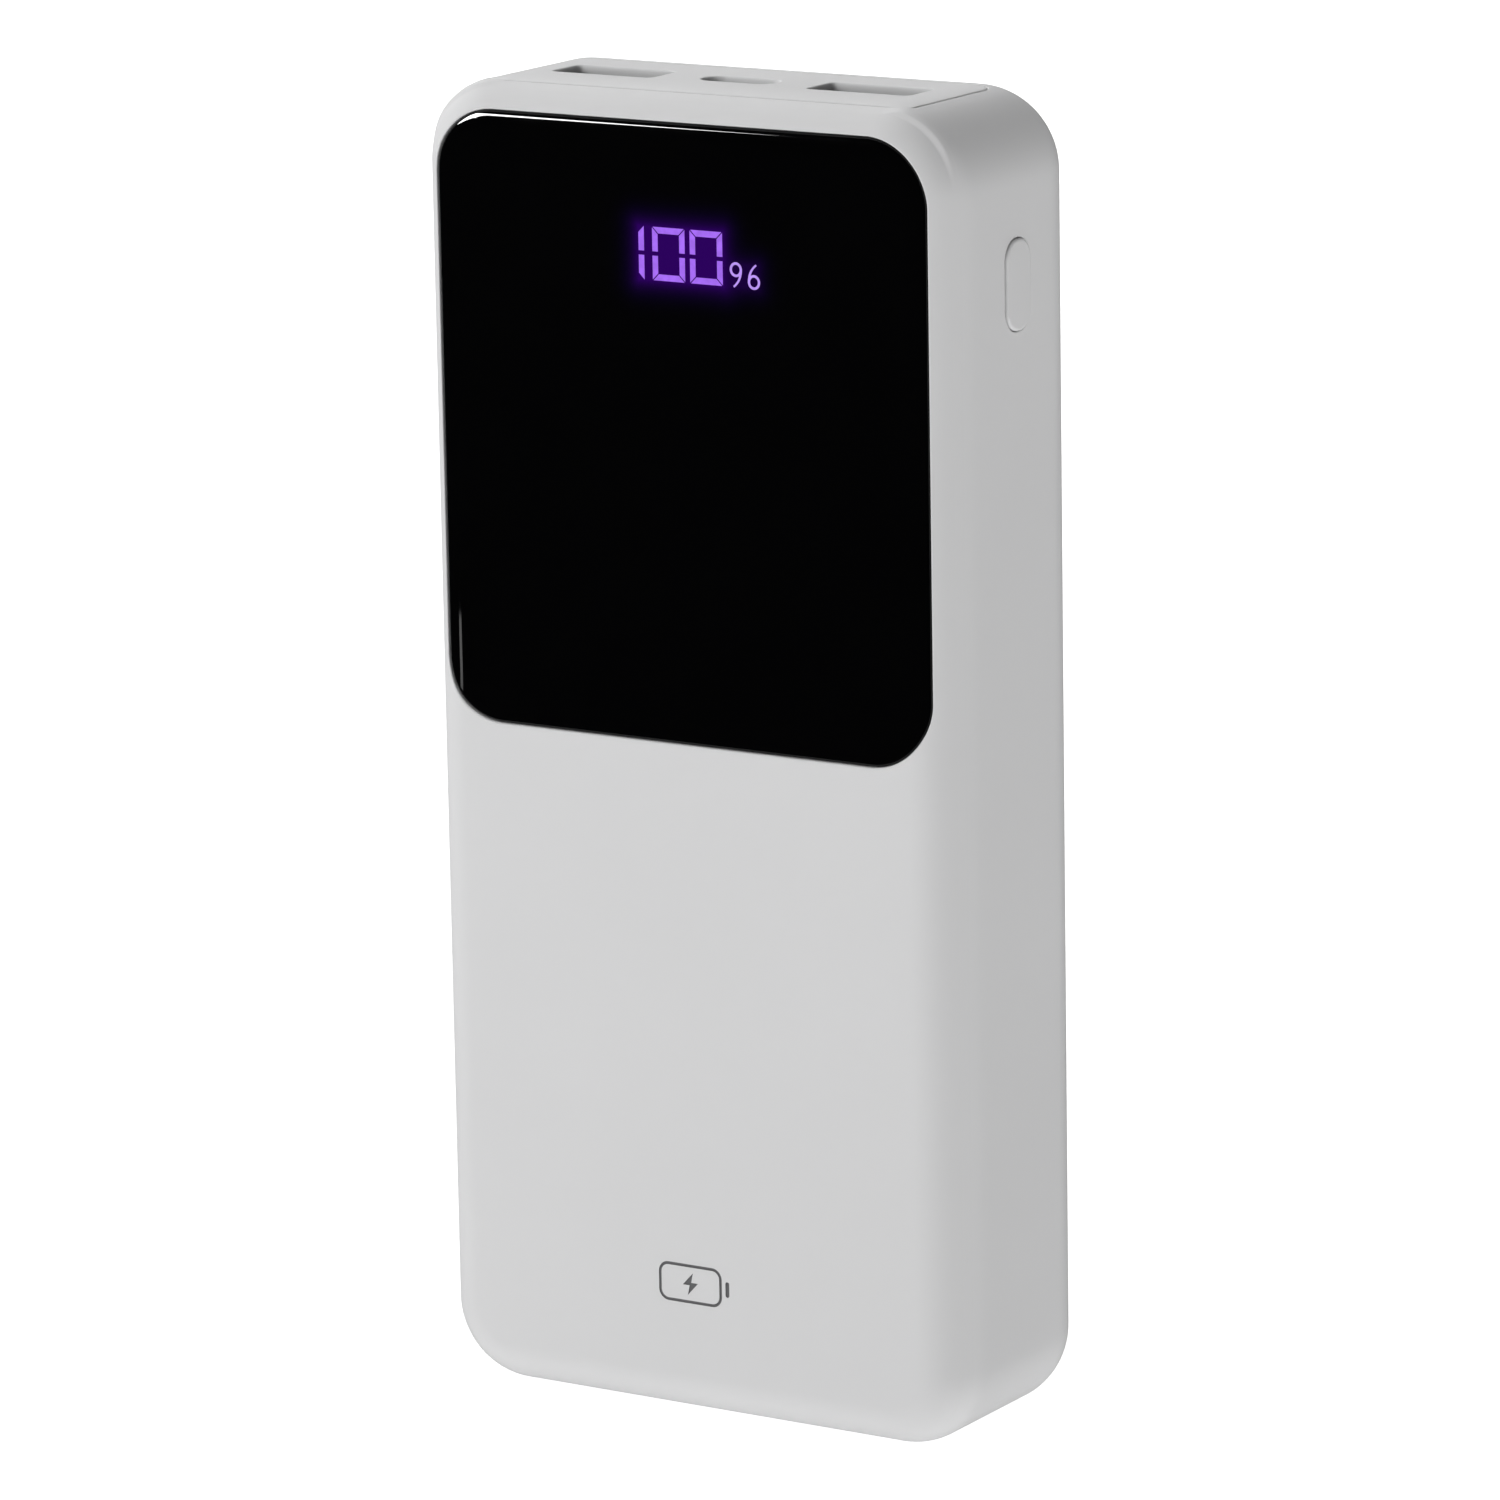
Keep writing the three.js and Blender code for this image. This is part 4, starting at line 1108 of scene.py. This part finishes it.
def pouch_foil():
    """Laminated foil, slightly dimpled all over."""
    nodes = Nodes("pouch_foil")
    dimples = nodes.noise(2.5, 2)
    nodes.feed("Base Color", nodes.ramp(dimples, (0.52, 0.53, 0.55), (0.63, 0.64, 0.66)))
    nodes.feed("Roughness", nodes.span(dimples, 0.34, 0.46))
    nodes.bump(dimples, 0.06)
    return nodes.set(Metallic=0.9).material


def circuit_board():
    """Green solder mask with fine tracks showing through it."""
    nodes = Nodes("circuit_board")
    tracks = nodes.noise(1.4, 0, (1, 1, 4))
    greens = nodes.ramp(tracks, (0.008, 0.075, 0.03), (0.014, 0.13, 0.05), 0.48, 0.52)
    nodes.feed("Base Color", greens)
    nodes.feed("Roughness", nodes.span(nodes.noise(0.5), 0.26, 0.4))
    nodes.bump(tracks, 0.01)
    return nodes.material


def ferrite():
    nodes = Nodes("pressed_ferrite")
    return nodes.mottle((0.07, 0.07, 0.075), 0.25, 1.5, (0.55, 0.7), 0.12, 0.01).material


def foam():
    """Closed-cell foam with its cells open at the cut faces."""
    nodes = Nodes("cut_foam")
    cells = nodes.tree.nodes.new("ShaderNodeTexVoronoi")
    cells.inputs["Scale"].default_value = 1 / (0.5 * MM)
    nodes.link(nodes.coordinates, cells.inputs["Vector"])
    cell_relief_and_shade = cells.outputs["Distance"]
    # The cell hollows are painted darker than their rims: painted shade in the hollows, on top of the
    # real bump.
    nodes.feed("Base Color", nodes.ramp(cell_relief_and_shade, (0.02, 0.02, 0.022), (0.06, 0.06, 0.065), 0.1, 0.6))
    nodes.bump(cell_relief_and_shade, 0.12)
    return nodes.set(Roughness=0.95).material


def insulation_paper():
    nodes = Nodes("insulation_paper")
    fibres = nodes.noise(0.6, 6, (0.3, 1, 1))
    nodes.feed("Base Color", nodes.ramp(fibres, (0.36, 0.39, 0.37), (0.48, 0.51, 0.49)))
    nodes.bump(fibres, 0.01)
    return nodes.set(Roughness=0.85).material


def red_insulation():
    nodes = Nodes("red_silicone")
    return nodes.mottle((0.5, 0.02, 0.02), 0.15, 4, (0.45, 0.6), 0.3, 0.004).material


satin_white = white_plastic()
violet = violet_light("violet_light", (0.40, 0.155, 0.95))
SLOT_MATERIALS = {
    "casing": satin_white,
    "panel": black_gloss(),
    "display_light": violet,
    "tape": tape_black(),
    "black_plastic": black_plastic(),
    "steel": steel(),
    "board": circuit_board(),
    "ferrite": ferrite(),
    "can_aluminium": can_aluminium(),
    "pouch_foil": pouch_foil(),
    "foam": foam(),
    "insulation": insulation_paper(),
    "red_insulation": red_insulation(),
    "nickel": nickel(),
}

for subpart in frame["record"]["subparts"]:
    node = frame["nodes"][subpart["node"]]
    node.data.materials.clear()
    node.data.materials.append(SLOT_MATERIALS[subpart["material_slot"]])


# ---- Pieces that stand for CAD nodes ----


def stand_in(piece, body, slot, *nodes):
    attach(piece, body)
    if nodes:
        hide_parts(*nodes)
    return piece


stand_in(front_housing([satin_white, engraving_grey()]), "casing", "casing", "front_housing")
stand_in(rear_cover([satin_white]), "casing", "casing", "rear_cover")
stand_in(port_plate([satin_white]), "casing", "casing", "port_plate")
panel = stand_in(display_panel([SLOT_MATERIALS["panel"]]), "casing", "panel", "display_panel")
stand_in(power_button([satin_white]), "button", "casing", "power_button")
for pad, face in (("front_foam_pad", "front"), ("rear_foam_pad", "front"), ("base_foam_pad", "top")):
    stand_in(foam_pad(pad, face, [SLOT_MATERIALS["foam"]]), "casing", "foam", pad)
stand_in(lit_digits([violet]), "casing", "display_light")
stand_in(lit_percent([violet_light("pale_violet", (0.55, 0.33, 1.0))]), "casing", "display_light")


# ---- Camera ----

CAMERA_YAW = 32.25
CAMERA_PITCH = 12.633
CAMERA_ROLL = -0.9646
CAMERA_DISTANCE = 890.99
CAMERA_SHIFT = Vector((-0.76, -0.66))
CAMERA_LENS = 190.807
CAMERA_SENSOR = 36


def direction(yaw, pitch):
    """Unit vector from the object towards a viewer or a light."""
    yaw, pitch = math.radians(yaw), math.radians(pitch)
    return Vector(
        (math.sin(yaw) * math.cos(pitch), -math.cos(yaw) * math.cos(pitch), math.sin(pitch))
    )


def make_camera():
    back = direction(CAMERA_YAW, CAMERA_PITCH)
    level = direction(CAMERA_YAW + 90, 0)
    upright = back.cross(level)
    roll = math.radians(CAMERA_ROLL)
    right = level * math.cos(roll) + upright * math.sin(roll)
    up = upright * math.cos(roll) - level * math.sin(roll)
    place = CENTRE + back * CAMERA_DISTANCE + level * CAMERA_SHIFT.x + upright * CAMERA_SHIFT.y
    data = bpy.data.cameras.new("camera")
    data.sensor_width = CAMERA_SENSOR
    data.lens = CAMERA_LENS
    data.clip_start = 0.05
    data.clip_end = 20
    camera = bpy.data.objects.new("camera", data)
    bpy.context.scene.collection.objects.link(camera)
    turned = Matrix((right, up, back)).transposed().to_4x4()
    camera.matrix_world = Matrix.Translation(place * MM) @ turned
    bpy.context.scene.camera = camera


make_camera()


# ---- Studio ----

FLOOR_REACH = 6000
FLOOR_DROP = 0.2


def make_floor():
    """A pale floor, a hair under the object, that glows nearly white."""
    data = bpy.data.meshes.new("floor")
    reach = FLOOR_REACH * MM
    corners = [(-reach, -reach, 0), (reach, -reach, 0), (reach, reach, 0), (-reach, reach, 0)]
    data.from_pydata(corners, [], [(0, 1, 2, 3)])
    floor = bpy.data.objects.new("floor", data)
    bpy.context.scene.collection.objects.link(floor)
    nodes = Nodes("pale_floor")
    nodes.feed("Base Color", nodes.ramp(nodes.noise(300), (0.28, 0.28, 0.28), (0.3, 0.3, 0.3)))
    nodes.set(Roughness=0.9, Specular_IOR_Level=0.0)
    nodes.set(Emission_Color=(1, 1, 1, 1), Emission_Strength=0.93)
    data.materials.append(nodes.material)
    floor.visible_glossy = False
    floor.location.z = -FLOOR_DROP * MM


def make_world():
    """A white backdrop that lights nothing: the lamps and the floor do."""
    world = bpy.data.worlds.new("studio")
    world.use_nodes = True
    world.node_tree.nodes["Background"].inputs["Color"].default_value = (1, 1, 1, 1)
    bpy.context.scene.world = world
    world.cycles_visibility.diffuse = False
    world.cycles_visibility.glossy = False


def lamp(name, aim, yaw, pitch, distance, width, height, power):
    """A rectangular lamp, facing the point aim. Its distance, width and height are in metres."""
    data = bpy.data.lights.new(name, "AREA")
    data.shape = "RECTANGLE"
    data.size = width
    data.size_y = height
    data.energy = power
    stand = bpy.data.objects.new(name, data)
    stand.location = aim * MM + direction(yaw, pitch) * distance
    stand.rotation_euler = direction(yaw, pitch).to_track_quat("Z", "Y").to_euler()
    bpy.context.scene.collection.objects.link(stand)
    return stand


def softbox(name, yaw, pitch, distance, width, height, power):
    """Soft light on the whole object, not mirrored in the gloss."""
    lamp(name, CENTRE, yaw, pitch, distance, width, height, power).visible_glossy = False


def glint(name, aim, yaw, pitch, distance, width, height, power):
    """A lamp seen only as a reflection in the glossy panel."""
    stand = lamp(name, aim, yaw, pitch, distance, width, height, power)
    stand.visible_diffuse = False
    stand.light_linking.receiver_collection = glossy


glossy = bpy.data.collections.new("glossy")
glossy.objects.link(panel)
make_floor()
make_world()

# Yaw and pitch in degrees, then distance, width and height in metres, and power in watts.
softbox("key_left", -40, 30, 1.2, 0.7, 0.7, 6.9)
softbox("left_high", -105, 35, 1.2, 0.7, 0.9, 4.2)
softbox("back_left", -145, 30, 1.2, 0.7, 0.9, 10)
softbox("right_low", 78, -2, 1.3, 0.9, 0.3, 5.5)
softbox("overhead", -90, 75, 1.2, 0.8, 0.8, 5.2)
glint("corner_glint", Vector((-27, -15, 146)), -62, 33, 0.35, 0.24, 0.15, 4.4)
glint("side_glint", Vector((-29.4, -15, 86)), -46, -12, 0.35, 0.05, 0.012, 0.004)

bpy.context.scene.view_settings.view_transform = "Standard"
